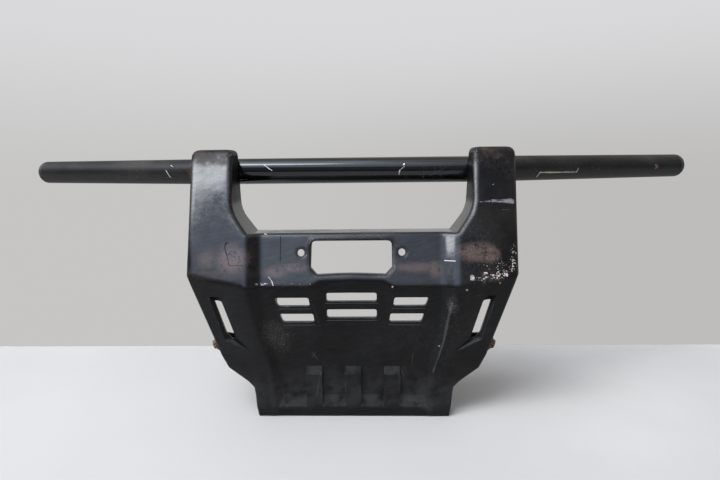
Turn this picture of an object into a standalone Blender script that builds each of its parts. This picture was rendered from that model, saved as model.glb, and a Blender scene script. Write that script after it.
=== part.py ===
"""Front bumper for a utility side-by-side: a moulded cover over a bent steel cross tube.

Units are metres. X runs across the vehicle, Y towards it, so the bumper's front faces -Y, and
Z is up. The origin is midway between the rear faces of the two chassis plates. Places on the
cover are given as x, how far ahead of the cross tube's axis, and how far below it.
"""

from math import cos, pi, radians, sin, tan

import bmesh
import bpy
from mathutils import Vector

# Cross tube: 1.75 inch steel tube, swept back at both ends
TUBE_OD = 0.04445
TUBE_WALL = 0.0025
TUBE_Z = 0.300
TUBE_BEND_X = 0.2227
TUBE_BEND_RADIUS = 0.100
TUBE_SWEEP = radians(21.4)
TUBE_SIDE_LENGTH = 0.4525
TUBE_SEGMENTS = 28

# Rounded plastic plugs in the tube's ends
PLUG_DOME = 0.014
PLUG_RIM = 0.004
PLUG_STEM = 0.026
PLUG_LEAD = 0.0015
PLUG_RINGS = 7
PLUG_FULLNESS = 0.6

# Moulded cover: wall and faces
WALL = 0.003
FRONT_ROUND = 0.007
WING_CREASE_ROUND = 0.006
STEP_ROUND = 0.0055
BEAM_ROUND = 0.0045
CREASE_ROUND = 0.0035
UPPER_RAKE = radians(26.0)
LOWER_RAKE = radians(12.0)
SKID_RAKE = radians(5.0)
WING_SWEEP = radians(4.5)
HORN_FACE_AHEAD = 0.066
STEP_DEPTH = 0.011
STEP_RUN = 0.0195
LOWER_AHEAD = 0.1447
LOWER_STEP = 0.009
LOWER_STEP_RUN = 0.012

# Moulded cover: outline seen from the front, half widths and drops below the tube's axis.
# Its other half widths follow the outer one, as they are with the measured one.
HORN_OUTER_HALF = 0.270
SPAN = HORN_OUTER_HALF / 0.270
HORN_TOP_RISE = 0.037
HORN_INNER_HALF = 0.1985 * SPAN
HORN_INNER_CORNER = 0.011
HORN_OUTER_CORNER = 0.015
GAP_CORNER_HALF = 0.1925 * SPAN
GAP_CORNER_DROP = 0.061
GAP_CORNER_ROUND = 0.018
BEAM_TOP_DROP = 0.096
BEAM_CORNER_HALF = 0.165 * SPAN
SIDE_FOOT = (0.2572 * SPAN, 0.138)
SHOULDER = (0.2547 * SPAN, 0.157)
WING_TOP = (0.2515 * SPAN, 0.170)
WING_KNEE = (0.2148 * SPAN, 0.296)
WING_FOOT = (0.2035 * SPAN, 0.3175)
NOTCH_OUTER = (0.1715 * SPAN, 0.339)
NOTCH_INNER = (0.1625 * SPAN, 0.3485)
LIP_HALF = 0.156 * SPAN
LIP_DROP = 0.398
SIDE_DRAFT = radians(12.0)
HORN_DRAFT = radians(3.0)
GAP_REAR_SLOPE = 0.004

# Moulded cover: folds inside the outline
CREASE_DROP = 0.1750
CREASE_STEP_HALF = 0.160 * SPAN
ARCH_HALF = 0.047
ARCH_RUN = 0.018
ARCH_RISE = 0.0095
ARCH_SAG = 0.002
ARCH_FADE_DROP = 0.250
RIDGE_MID_HALF = 0.1475 * SPAN
KNEE_DROP = 0.306
KNEE_RIDGE_HALF = 0.132 * SPAN
FLARE_TOP_DROP = 0.362
FLARE_FOOT_DROP = 0.380
FLARE_OUT = 0.008
LIP_RIDGE_HALF = 0.126 * SPAN
LIP_RIDGE_LEFT = 0.45

# Moulded cover: how far forward its rear edge stays, by drop below the tube's axis
REAR_BEHIND_TUBE = 0.012
REAR_HORN_FOOT_DROP = 0.094
REAR_SIDE = (0.125, 0.029)
REAR_KNEE = (0.290, 0.062)
REAR_LIP_AHEAD = 0.088
GAP_REAR_TOP_AHEAD = 0.012
GAP_REAR_BEAM_AHEAD = 0.029

# Fairlead opening and its bolt holes
FAIRLEAD_SPACING = 0.1575
FAIRLEAD_HOLE = 0.0110
FAIRLEAD_DROP = 0.1253
OPENING_HALF = 0.0635
OPENING_TOP_DROP = 0.1083
OPENING_FOOT_DROP = 0.158
OPENING_ROUND = 0.0032
OPENING_CHAMFER = 0.0102
OPENING_CORNER = 0.008
OPENING_ARCH = 0.0016
OPENING_RIM_DEPTH = 0.013

# Vent slots in the lower panel: half widths at the slot's top and foot, and drops of its top
SLOT_HEIGHT = 0.0145
SLOT_CORNER = 0.0036
SLOT_RIM = 0.0025
SLOT_RIM_DEPTH = 0.0055
CENTRE_SLOT_HALF = 0.039
CENTRE_SLOT_DROPS = (0.185, 0.212)
OUTER_SLOT_INNER = (0.0662 * SPAN, 0.0602 * SPAN)
OUTER_SLOT_OUTER = (0.1189 * SPAN, 0.1128 * SPAN)
OUTER_SLOT_LEAN = 0.0042
INNER_SLOT_LEAN = 0.0018
OUTER_SLOT_DROPS = (0.1917, 0.2185)

# Slanted side slots and the pockets that run into them
SIDE_SLOT = (
    (0.2033 * SPAN, 0.1980), (0.2170 * SPAN, 0.1980), (0.2030 * SPAN, 0.2560),
    (0.1930 * SPAN, 0.2660), (0.1870 * SPAN, 0.2620),
)
SIDE_SLOT_CORNER = 0.0035
POCKET = (
    (0.1900 * SPAN, 0.1885), (0.2230 * SPAN, 0.1895), (0.2045 * SPAN, 0.2655), (0.1600 * SPAN, 0.2860),
)
POCKET_DEPTH = 0.009
POCKET_WALL_RUN = 0.004

# Ribs low on the front
RIB_CENTRE = 0.063
RIB_HALF = 0.013
RIB_TOP_DROP = 0.311
RIB_LEDGE = 0.0125
RIB_RISE = 0.0065

# Steel frame behind the cover
UPRIGHT_OD = 0.03175
UPRIGHT_WALL = 0.0025
UPRIGHT_TOP_X = 0.222 * SPAN
UPRIGHT_LOW_X = 0.146 * SPAN
UPRIGHT_LOW_AHEAD = 0.060
UPRIGHT_JOG_DROPS = (0.096, 0.190)
UPRIGHT_FOOT_DROP = 0.332
UPRIGHT_BEND_RADIUS = 0.045
UPRIGHT_SEGMENTS = 20
PLATE_THICKNESS = 0.006
PLATE_WIDTH = 0.072
PLATE_HEIGHT = 0.072
PLATE_HOLE = 0.0105
PLATE_HOLE_SPACING = (0.050, 0.044)
PLATE_CORNER = 0.008
BAR_THICKNESS = 0.005
BAR_HEIGHT = 0.026
LUG_FRONT = 0.010
LUG_REAR = 0.020
LUG_FOLD = 0.020

# Fasteners: metric screws with their nuts and washers
SIDE_BOLT = 0.008
SIDE_BOLT_DROP = 0.279
SIDE_BOLT_SETBACK = 0.0145
TOP_SCREW = 0.006
TOP_TAB_DROP = 0.078
TOP_TAB_REACH = 0.024
TOP_TAB_HEIGHT = 0.026
TOP_TAB_THICKNESS = 0.004
TOP_FIX_X = 0.2465 * SPAN
LUG_SET = 0.001
TAB_WELD_GAP = 0.0003
HEX_ACROSS = 1.65
HEAD_HEIGHT = 0.65
NUT_HEIGHT = 0.8
FLANGE_ACROSS = 2.15
FLANGE_THICKNESS = 0.16
THREAD_BEYOND_NUT = 0.4

SEAT = 0.0003
SNUG = 0.0004
TUBE_CLEARANCE = 0.0016
HOLE_CLEARANCE = 0.0005
ARC_STEPS = 4
PAST_FACE = 0.004

TUBE_Y = UPRIGHT_LOW_AHEAD - UPRIGHT_OD / 2 - SEAT - PLATE_THICKNESS


def at(x, ahead, drop):
    """A point from its x, how far ahead of the cross tube's axis and how far below it."""
    return Vector((x, TUBE_Y - ahead, TUBE_Z - drop))


def material(name, colour, roughness, metallic):
    made = bpy.data.materials.new(name)
    made.use_nodes = True
    shader = made.node_tree.nodes["Principled BSDF"]
    shader.inputs["Base Color"].default_value = (*colour, 1.0)
    shader.inputs["Roughness"].default_value = roughness
    shader.inputs["Metallic"].default_value = metallic
    return made


def add_object(name, bm, look=None, round_faces=True):
    bmesh.ops.recalc_face_normals(bm, faces=bm.faces)
    mesh = bpy.data.meshes.new(name)
    bm.to_mesh(mesh)
    bm.free()
    if round_faces:
        mesh.shade_smooth()
        mesh.set_sharp_from_angle(angle=radians(32.0))
    made = bpy.data.objects.new(name, mesh)
    bpy.context.scene.collection.objects.link(made)
    if look:
        mesh.materials.append(look)
    return made


def add_cutter(name, bm):
    cutter = add_object(name, bm, round_faces=False)
    cutter.hide_render = True
    cutter.display_type = "WIRE"
    return cutter


def boolean(target, tool, operation):
    step = target.modifiers.new(tool.name, "BOOLEAN")
    step.operation = operation
    step.object = tool
    step.solver = "EXACT"


def rounded(corners, radius, steps=ARC_STEPS):
    """The closed outline of 2-D corners, each one turned into an arc of about this radius."""
    outline = []
    count = len(corners)
    for index, corner in enumerate(corners):
        here = Vector(corner)
        back = (Vector(corners[index - 1]) - here).normalized()
        on = (Vector(corners[(index + 1) % count]) - here).normalized()
        start = here + back * radius
        end = here + on * radius
        for step in range(steps + 1):
            t = step / steps
            outline.append((1 - t) ** 2 * start + 2 * t * (1 - t) * here + t ** 2 * end)
    return outline


def add_rings(bm, rings, loop=False):
    """Joins rings of equal length; capped at both ends, or closed on themselves with loop."""
    made = [[bm.verts.new(point) for point in ring] for ring in rings]
    count = len(made[0])
    pairs = list(zip(made, made[1:]))
    if loop:
        pairs.append((made[-1], made[0]))
    else:
        bm.faces.new(made[0])
        bm.faces.new(made[-1])
    for one, two in pairs:
        for i in range(count):
            j = (i + 1) % count
            bm.faces.new((one[i], one[j], two[j], two[i]))


def add_prism(bm, front, back):
    add_rings(bm, [front, back])


def frame_of(axis):
    """Two unit vectors square to the axis and to each other."""
    axis = axis.normalized()
    side = axis.cross(Vector((0.0, 0.0, 1.0)))
    if side.length < 0.1:
        side = Vector((1.0, 0.0, 0.0))
    side.normalize()
    return side, axis.cross(side)


def circle(centre, side, up, radius, segments, hexagon=False):
    ring = []
    for k in range(segments):
        turn = 2 * pi * k / segments
        reach = radius
        if hexagon:
            reach = radius / cos((turn + pi / 6) % (pi / 3) - pi / 6)
        ring.append(centre + side * (reach * cos(turn)) + up * (reach * sin(turn)))
    return ring


def add_lathe(bm, origin, axis, stations, segments, loop=False):
    """Stations are (distance along the axis, radius, whether the ring is a hexagon)."""
    axis = axis.normalized()
    side, up = frame_of(axis)
    rings = [circle(origin + axis * s, side, up, r, segments, h) for s, r, h in stations]
    add_rings(bm, rings, loop)


def add_rod(bm, start, end, radius, segments=24):
    length = (end - start).length
    add_lathe(bm, start, end - start, [(0.0, radius, False), (length, radius, False)], segments)


def bent_path(corners, radius, steps):
    """Points and directions along a polyline whose inner corners are bent to this radius."""
    path = []
    for index, corner in enumerate(corners):
        if index == 0 or index == len(corners) - 1:
            other = corners[1] if index == 0 else corners[-2]
            along = (other - corner) if index == 0 else (corner - other)
            path.append((corner, along.normalized()))
            continue
        come = (corner - corners[index - 1]).normalized()
        go = (corners[index + 1] - corner).normalized()
        turn = come.angle(go)
        tangent = radius * tan(turn / 2)
        centre = corner + (go - come).normalized() * (radius / cos(turn / 2))
        arm = corner - come * tangent - centre
        for step in range(steps + 1):
            part = turn * step / steps
            place = centre + arm * cos(part) + come * (radius * sin(part))
            path.append((place, (come * cos(part) - arm.normalized() * sin(part)).normalized()))
    return path


def add_bar(bm, path, square, radius, segments, inner=None):
    """A bar, or a tube with an inner radius, along a planar path; square is normal to its plane."""
    def rings(size, stops):
        return [circle(p, square.cross(d), square, size, segments) for p, d in stops]
    if inner is None:
        add_rings(bm, rings(radius, path))
    else:
        add_rings(bm, rings(radius, path) + rings(inner, path[::-1]), loop=True)


def mirrored(point):
    return Vector((-point.x, point.y, point.z))


# The cover's faces, as distance ahead of the cross tube
def wing_ahead(x, drop):
    return HORN_FACE_AHEAD + drop * tan(UPPER_RAKE) - (x - BEAM_CORNER_HALF) * tan(WING_SWEEP)


def centre_ahead(drop):
    return HORN_FACE_AHEAD - STEP_DEPTH + drop * tan(UPPER_RAKE)


def lower_ahead(drop):
    return LOWER_AHEAD - (drop - CREASE_DROP) * tan(LOWER_RAKE)


def skid_ahead(drop):
    return lower_ahead(KNEE_DROP) - (drop - KNEE_DROP) * tan(SKID_RAKE)


def plane(one, two, three):
    """The ahead distance as a function of x and drop, through three (x, drop, ahead) points."""
    a, b, c = Vector(one), Vector(two), Vector(three)
    normal = (b - a).cross(c - a)
    return lambda x, drop: a.z - (normal.x * (x - a.x) + normal.y * (drop - a.y)) / normal.z


def wing_low(x, drop):
    """The lower wing's face, ahead of the cross tube."""
    face = plane(
        (CREASE_STEP_HALF, CREASE_DROP, wing_ahead(CREASE_STEP_HALF, CREASE_DROP)),
        (*SHOULDER, wing_ahead(*SHOULDER)),
        (KNEE_RIDGE_HALF, KNEE_DROP, lower_ahead(KNEE_DROP) + LOWER_STEP),
    )
    return face(x, drop)


def rear_ahead(drop):
    """The rear edge's distance ahead of the tube's axis, falling forward below the horns."""
    knots = [
        (-HORN_TOP_RISE, -REAR_BEHIND_TUBE),
        (REAR_HORN_FOOT_DROP, -REAR_BEHIND_TUBE),
        REAR_SIDE,
        REAR_KNEE,
        (LIP_DROP, REAR_LIP_AHEAD),
    ]
    for (top, near), (foot, far) in zip(knots, knots[1:]):
        if drop <= foot:
            return near + (far - near) * (drop - top) / (foot - top)
    return REAR_LIP_AHEAD


def gap_rear_ahead(drop):
    """The same round the gap between the horns, where the walls are shallower."""
    share = (drop + HORN_TOP_RISE) / (BEAM_TOP_DROP + HORN_TOP_RISE)
    return GAP_REAR_TOP_AHEAD + (GAP_REAR_BEAM_AHEAD - GAP_REAR_TOP_AHEAD) * share


def along_side(drop, top, foot):
    """The half width at a drop on the straight side between two outline corners."""
    return top[0] + (foot[0] - top[0]) * (drop - top[1]) / (foot[1] - top[1])


class CoverSkin:
    """The cover's outer skin on the +X side, as named points and faces, then mirrored."""

    def __init__(self):
        self.bm = bmesh.new()
        self.points = {}
        self.rounding = self.bm.edges.layers.float.new("bevel_weight_edge")

    def put(self, name, x, drop, ahead):
        self.points[name] = self.bm.verts.new(at(x, ahead, drop))

    def face(self, *names):
        self.bm.faces.new([self.points[name] for name in names])

    def soften(self, radius, *names):
        for one, two in zip(names, names[1:]):
            edge = self.bm.edges.get((self.points[one], self.points[two]))
            edge[self.rounding] = radius / FRONT_ROUND


def corner_arc(skin, stem, corner, back, on, radius):
    """Puts an arc of points on the horn's face round one corner of its outline."""
    names = []
    corner, back, on = Vector(corner), Vector(back), Vector(on)
    for step in range(ARC_STEPS + 1):
        t = step / ARC_STEPS
        start = corner + back * radius
        end = corner + on * radius
        spot = (1 - t) ** 2 * start + 2 * t * (1 - t) * corner + t ** 2 * end
        names.append(f"{stem}{step}")
        skin.put(names[-1], spot.x, spot.y, wing_ahead(spot.x, spot.y))
    return names


def build_cover_skin():
    skin = CoverSkin()
    arch_drop = CREASE_DROP - ARCH_RISE
    step_top_x = BEAM_CORNER_HALF - STEP_RUN
    step_low_x = CREASE_STEP_HALF - STEP_RUN
    crease_step = (CREASE_STEP_HALF, CREASE_DROP)
    knee_ahead = lower_ahead(KNEE_DROP)
    knee_end = (*WING_KNEE, wing_low(*WING_KNEE))
    skid_wing = plane(
        (KNEE_RIDGE_HALF, KNEE_DROP, knee_ahead + LOWER_STEP),
        knee_end,
        (KNEE_RIDGE_HALF, LIP_DROP, skid_ahead(LIP_DROP) + LOWER_STEP),
    )

    # Upper face: beam, crease and horn
    skin.put("A0", 0.0, BEAM_TOP_DROP, centre_ahead(BEAM_TOP_DROP))
    skin.put("A3", step_top_x, BEAM_TOP_DROP, centre_ahead(BEAM_TOP_DROP))
    skin.put("A4", BEAM_CORNER_HALF, BEAM_TOP_DROP, wing_ahead(BEAM_CORNER_HALF, BEAM_TOP_DROP))
    side_top = (HORN_OUTER_HALF, -HORN_TOP_RISE)
    side_way = (Vector(SIDE_FOOT) - Vector(side_top)).normalized()
    gap_corner = Vector((GAP_CORNER_HALF, GAP_CORNER_DROP))
    to_beam = (Vector((BEAM_CORNER_HALF, BEAM_TOP_DROP)) - gap_corner).normalized()
    to_top = (Vector((HORN_INNER_HALF, -HORN_TOP_RISE)) - gap_corner).normalized()
    gap = corner_arc(skin, "H", gap_corner, to_beam, to_top, GAP_CORNER_ROUND)
    inner = corner_arc(
        skin, "I", (HORN_INNER_HALF, -HORN_TOP_RISE), -to_top, (1, 0), HORN_INNER_CORNER
    )
    outer = corner_arc(skin, "J", side_top, (-1, 0), side_way, HORN_OUTER_CORNER)
    sides = []
    for index, drop in enumerate((REAR_HORN_FOOT_DROP, REAR_SIDE[0], SIDE_FOOT[1])):
        x = along_side(drop, side_top, SIDE_FOOT)
        sides.append(f"S{index}")
        skin.put(sides[-1], x, drop, wing_ahead(x, drop))
    skin.put("C0", 0.0, arch_drop, centre_ahead(arch_drop))
    skin.put("C1", ARCH_HALF, arch_drop + ARCH_SAG, centre_ahead(arch_drop + ARCH_SAG))
    skin.put("C2", ARCH_HALF + ARCH_RUN, CREASE_DROP, centre_ahead(CREASE_DROP))
    skin.put("C3", step_low_x, CREASE_DROP, centre_ahead(CREASE_DROP))
    skin.put("C4", *crease_step, wing_ahead(*crease_step))
    skin.put("C5", *SHOULDER, wing_ahead(*SHOULDER))
    horn = ["A4", *gap, *inner, *outer, *sides, "C5"]
    skin.face(*horn, "C4")
    skin.face("A3", "A4", "C4", "C3")

    # Fairlead opening, with a rim that runs back from its edge
    opening = rounded(
        [(OPENING_HALF, OPENING_TOP_DROP), (-OPENING_HALF, OPENING_TOP_DROP),
         (-OPENING_HALF, OPENING_FOOT_DROP), (OPENING_HALF, OPENING_FOOT_DROP)],
        OPENING_CORNER,
    )
    corner = [(p.x, p.y) for p in opening[: ARC_STEPS + 1]][::-1]
    mouth = [(0.0, OPENING_TOP_DROP), *corner]
    mouth.append((OPENING_HALF, OPENING_FOOT_DROP - OPENING_CHAMFER))
    mouth.append((OPENING_HALF - OPENING_CHAMFER, OPENING_FOOT_DROP))
    mouth.append((ARCH_HALF / 2, OPENING_FOOT_DROP - OPENING_ARCH * 3 / 4))
    mouth.append((0.0, OPENING_FOOT_DROP - OPENING_ARCH))
    names = []
    for index, (x, drop) in enumerate(mouth):
        names.append(f"P{index}")
        skin.put(f"P{index}", x, drop, centre_ahead(drop))
        skin.put(f"PR{index}", x, drop, centre_ahead(drop) - OPENING_RIM_DEPTH)
    skin.face("A0", "A3", "C3", "C2", "C1", "C0", *names[::-1])
    for one, two in zip(names, names[1:]):
        skin.face(one, two, two.replace("P", "PR"), one.replace("P", "PR"))
    skin.soften(OPENING_ROUND, *names)

    # Lower panel down to the knee
    skin.put("M0", 0.0, ARCH_FADE_DROP, lower_ahead(ARCH_FADE_DROP))
    skin.put("M1", ARCH_HALF, ARCH_FADE_DROP, lower_ahead(ARCH_FADE_DROP))
    skin.put("M2", ARCH_HALF + ARCH_RUN, ARCH_FADE_DROP, lower_ahead(ARCH_FADE_DROP))
    skin.put("M3", RIDGE_MID_HALF - LOWER_STEP_RUN, ARCH_FADE_DROP, lower_ahead(ARCH_FADE_DROP))
    ridge_mid = (RIDGE_MID_HALF, ARCH_FADE_DROP)
    skin.put("M4", *ridge_mid, wing_low(*ridge_mid))
    skin.put("K3", KNEE_RIDGE_HALF - LOWER_STEP_RUN, KNEE_DROP, knee_ahead)
    skin.put("K4", KNEE_RIDGE_HALF, KNEE_DROP, knee_ahead + LOWER_STEP)
    ribs = (("r", RIB_HALF), ("s", RIB_CENTRE - RIB_HALF), ("t", RIB_CENTRE + RIB_HALF))
    ledge_drop = RIB_TOP_DROP + RIB_LEDGE
    for stem, x in (("m", 0.0), *ribs):
        skin.put("K" + stem, x, KNEE_DROP, knee_ahead)
        skin.put("T" + stem, x, RIB_TOP_DROP, skid_ahead(RIB_TOP_DROP))
        skin.put("Q" + stem, x, ledge_drop, skid_ahead(ledge_drop) + RIB_RISE)
        skin.put("G" + stem, x, FLARE_FOOT_DROP, skid_ahead(FLARE_FOOT_DROP) + FLARE_OUT)
        skin.put("B" + stem, x, LIP_DROP, skid_ahead(LIP_DROP) + FLARE_OUT)
    for stem, x in ribs:
        skin.put("F" + stem, x, FLARE_TOP_DROP, skid_ahead(FLARE_TOP_DROP))
    skin.face("C0", "C1", "M1", "M0")
    skin.face("C1", "C2", "M2", "M1")
    skin.face("C2", "C3", "M3", "M2")
    skin.face("C3", "C4", "M4", "M3")
    skin.face("M3", "M4", "K4", "K3")
    skin.face("M0", "M1", "M2", "M3", "K3", "Kt", "Ks", "Kr", "Km")

    # Ribs and the flared lip below the knee
    for part, top, rise, left in (
        ("F", FLARE_TOP_DROP, 0.0, 1.0),
        ("G", FLARE_FOOT_DROP, FLARE_OUT, LIP_RIDGE_LEFT),
        ("B", LIP_DROP, FLARE_OUT, 0.0),
    ):
        level = skid_ahead(top)
        skin.put(part + "3", LIP_RIDGE_HALF - LOWER_STEP_RUN, top, level + rise)
        edge = along_side(top, NOTCH_INNER, (LIP_HALF, LIP_DROP))
        for number, x in (("4", LIP_RIDGE_HALF), ("5", edge)):
            skin.put(part + number, x, top, level + (skid_wing(x, top) - level) * left + rise)
    skin.face("Km", "Kr", "Tr", "Tm")
    skin.face("Tm", "Tr", "Qr", "Qm")
    skin.face("Qm", "Qr", "Gr", "Gm")
    skin.face("Gm", "Gr", "Br", "Bm")
    skin.face("Tr", "Fr", "Gr", "Qr")
    skin.face("Kr", "Ks", "Ts", "Fs", "Fr", "Tr")
    skin.face("Fr", "Fs", "Gs", "Gr")
    skin.face("Gr", "Gs", "Bs", "Br")
    skin.face("Ks", "Kt", "Tt", "Ts")
    skin.face("Ts", "Tt", "Qt", "Qs")
    skin.face("Qs", "Qt", "Gt", "Gs")
    skin.face("Gs", "Gt", "Bt", "Bs")
    skin.face("Ts", "Qs", "Gs", "Fs")
    skin.face("Tt", "Ft", "Gt", "Qt")
    skin.face("Kt", "K3", "F3", "Ft", "Tt")
    skin.face("Ft", "F3", "G3", "Gt")
    skin.face("Gt", "G3", "B3", "Bt")
    for one, two in (("3", "4"), ("4", "5")):
        skin.face("F" + one, "F" + two, "G" + two, "G" + one)
        skin.face("G" + one, "G" + two, "B" + two, "B" + one)
    skin.face("K3", "K4", "F4", "F3")

    # Lower wing, with the pocket that leads into the side slot
    skin.put("O1", *WING_TOP, wing_low(*WING_TOP))
    skin.put("O2", *knee_end)
    for name, spot in (("O3", WING_FOOT), ("O4", NOTCH_OUTER), ("O5", NOTCH_INNER)):
        skin.put(name, *spot, skid_wing(*spot))
    for name, spot in zip(("Pd", "Pa", "Pb", "Pc"), POCKET):
        skin.put(name, *spot, wing_low(*spot))
    floor_top = (POCKET[1][0] - POCKET_WALL_RUN, POCKET[1][1] + POCKET_WALL_RUN)
    floor_foot = (POCKET[2][0] - POCKET_WALL_RUN, POCKET[2][1] - POCKET_WALL_RUN)
    skin.put("Fa", *floor_top, wing_low(*floor_top) - POCKET_DEPTH)
    skin.put("Fb", *floor_foot, wing_low(*floor_foot) - POCKET_DEPTH)
    skin.face("C4", "C5", "O1", "O2", "Pb", "Pa", "Pd")
    skin.face("C4", "Pd", "Pc", "Pb", "O2", "K4", "M4")
    skin.face("Pa", "Pb", "Fb", "Fa")
    skin.face("Pd", "Pa", "Fa")
    skin.face("Pb", "Pc", "Fb")
    skin.face("Pd", "Fa", "Fb", "Pc")
    skin.face("K4", "O2", "O3", "O4", "O5", "F5", "F4")

    # Walls that run back from the outline
    lip = ["F5", "G5", "B5", "B4", "B3", "Bt", "Bs", "Br", "Bm"]
    low = ["O1", "O2", "O3", "O4", "O5", *lip]
    outline = ["A0", "A3", *horn, *low]
    outward = {"C5", "O1", "O2", "O3", "O4"}
    lipside = {"O5", "F5", "G5", "B5"}
    upright = {*outer[1:], *sides, *lipside}
    beamside = {"A0", "A3", "A4", *gap[:-1]}
    gapside = {*beamside, *gap, *inner}
    for name in outline:
        front = skin.points[name].co
        drop = TUBE_Z - front.z
        ahead = TUBE_Y - front.y
        back = gap_rear_ahead(drop) if name in gapside else rear_ahead(drop)
        draft = SIDE_DRAFT if name in outward else HORN_DRAFT if name in upright else 0.0
        x = front.x + (ahead - back) * tan(draft)
        fall = GAP_REAR_SLOPE if name in beamside else 0.0
        skin.put("R" + name, x, drop + fall, back)
    for one, two in zip(outline, outline[1:]):
        skin.face(one, two, "R" + two, "R" + one)

    skin.soften(BEAM_ROUND, "A0", "A3", "A4")
    skin.soften(FRONT_ROUND, *horn)
    skin.soften(CREASE_ROUND, "C5", *low)
    skin.soften(CREASE_ROUND, "C3", "M3", "K3")
    skin.soften(CREASE_ROUND, "C4", "M4", "K4", "F4", "G4")
    skin.soften(STEP_ROUND, "A3", "C3")
    skin.soften(STEP_ROUND, "A4", "C4")
    skin.soften(CREASE_ROUND, "C0", "C1", "C2", "C3", "C4")
    skin.soften(WING_CREASE_ROUND, "C4", "C5")
    return skin


def finish_skin(skin):
    """Mirrors the half skin and joins it on the centre line."""
    bm = skin.bm
    whole = [*bm.verts, *bm.edges, *bm.faces]
    copied = bmesh.ops.duplicate(bm, geom=whole)["geom"]
    for item in copied:
        if isinstance(item, bmesh.types.BMVert):
            item.co.x = -item.co.x
    flipped = [item for item in copied if isinstance(item, bmesh.types.BMFace)]
    bmesh.ops.reverse_faces(bm, faces=flipped)
    middle = [vert for vert in bm.verts if abs(vert.co.x) < 0.00001]
    bmesh.ops.remove_doubles(bm, verts=middle, dist=0.00005)
    bmesh.ops.recalc_face_normals(bm, faces=bm.faces)
    face = max(bm.faces, key=lambda f: f.calc_area() * abs(f.normal.y))
    if face.normal.y > 0:
        bmesh.ops.reverse_faces(bm, faces=bm.faces)
    mesh = bpy.data.meshes.new("bumper_cover")
    bm.to_mesh(mesh)
    bm.free()
    mesh.shade_smooth()
    cover = bpy.data.objects.new("bumper_cover", mesh)
    bpy.context.scene.collection.objects.link(cover)
    return cover


def slot_outlines():
    """The vent slots' outlines in x and drop, as corners, over both halves of the cover."""
    slots = []
    for top in CENTRE_SLOT_DROPS:
        foot = top + SLOT_HEIGHT
        half = CENTRE_SLOT_HALF
        slots.append([(-half, top), (half, top), (half, foot), (-half, foot)])
    for top, near, far in zip(OUTER_SLOT_DROPS, OUTER_SLOT_INNER, OUTER_SLOT_OUTER):
        foot = top + SLOT_HEIGHT
        right = [
            (near, top), (far, top), (far - OUTER_SLOT_LEAN, foot), (near - INNER_SLOT_LEAN, foot)]
        slots.append(right)
        slots.append([(-x, drop) for x, drop in right[::-1]])
    return slots


def add_through(bm, outline, grow, face_ahead, before, behind):
    """A prism through a panel, from before its outer face to behind it."""
    centre = sum((Vector(p) for p in outline), Vector((0, 0))) / len(outline)
    wide = []
    for p in outline:
        offset = Vector(p) - centre
        wide.append(centre + offset + Vector((
            grow if offset.x > 0 else -grow, grow if offset.y > 0 else -grow)))
    shape = rounded(wide, SLOT_CORNER + grow, 3)
    front = [at(p.x, face_ahead(p.y) + before, p.y) for p in shape]
    back = [at(p.x, face_ahead(p.y) - behind, p.y) for p in shape]
    add_prism(bm, front, back)


def vent_face(drop):
    """The lower panel's face between the crease and the level where the arch fades."""
    top = centre_ahead(CREASE_DROP)
    foot = lower_ahead(ARCH_FADE_DROP)
    return top + (foot - top) * (drop - CREASE_DROP) / (ARCH_FADE_DROP - CREASE_DROP)


def arch_face(drop):
    high = CREASE_DROP - ARCH_RISE
    top = centre_ahead(high)
    foot = lower_ahead(ARCH_FADE_DROP)
    return top + (foot - top) * (drop - high) / (ARCH_FADE_DROP - high)


def side_wall_frame():
    """The point under each side bolt's head on the +X side wall, and the wall's outward normal."""
    drop = SIDE_BOLT_DROP
    slope = tan(SIDE_DRAFT)
    corners = []
    for x, level in (WING_TOP, WING_KNEE):
        front = wing_low(x, level)
        back = rear_ahead(level)
        corners.append((Vector((x, front, level)), Vector((x + (front - back) * slope, back, level))))
    (top_front, top_back), (foot_front, foot_back) = corners
    share = (drop - WING_TOP[1]) / (WING_KNEE[1] - WING_TOP[1])
    front = top_front.lerp(foot_front, share)
    back = top_back.lerp(foot_back, share)
    run = SIDE_BOLT_SETBACK / (front.y - back.y)
    spot = front.lerp(back, run)
    upper = top_front.lerp(top_back, run)
    lower = foot_front.lerp(foot_back, run)
    place = at(spot.x, spot.y, spot.z)
    rearward = (at(back.x, back.y, back.z) - at(front.x, front.y, front.z)).normalized()
    down = (at(lower.x, lower.y, lower.z) - at(upper.x, upper.y, upper.z)).normalized()
    normal = rearward.cross(down).normalized()
    if normal.x < 0:
        normal = -normal
    return place, normal, rearward


def tube_corners():
    bend = TUBE_BEND_X
    reach = bend + TUBE_SIDE_LENGTH * cos(TUBE_SWEEP)
    back = -TUBE_SIDE_LENGTH * sin(TUBE_SWEEP)
    return [at(-reach, back, 0.0), at(-bend, 0.0, 0.0), at(bend, 0.0, 0.0), at(reach, back, 0.0)]


def stadium(bm, centre, axis, half_length, radius, behind):
    """A cutter round a bar along its axis, open towards the vehicle."""
    axis = axis.normalized()
    up = Vector((0.0, 0.0, 1.0))
    back = up.cross(axis)
    if back.y < 0:
        back = -back
    outline = []
    steps = 12
    for k in range(steps + 1):
        turn = pi / 2 + pi * k / steps
        outline.append((radius * cos(turn), radius * sin(turn)))
    outline.append((behind, -radius))
    outline.append((behind, radius))
    ends = []
    for sign in (-1, 1):
        base = centre + axis * (half_length * sign)
        ends.append([base + back * s + up * t for s, t in outline])
    add_prism(bm, ends[0], ends[1])


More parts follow.
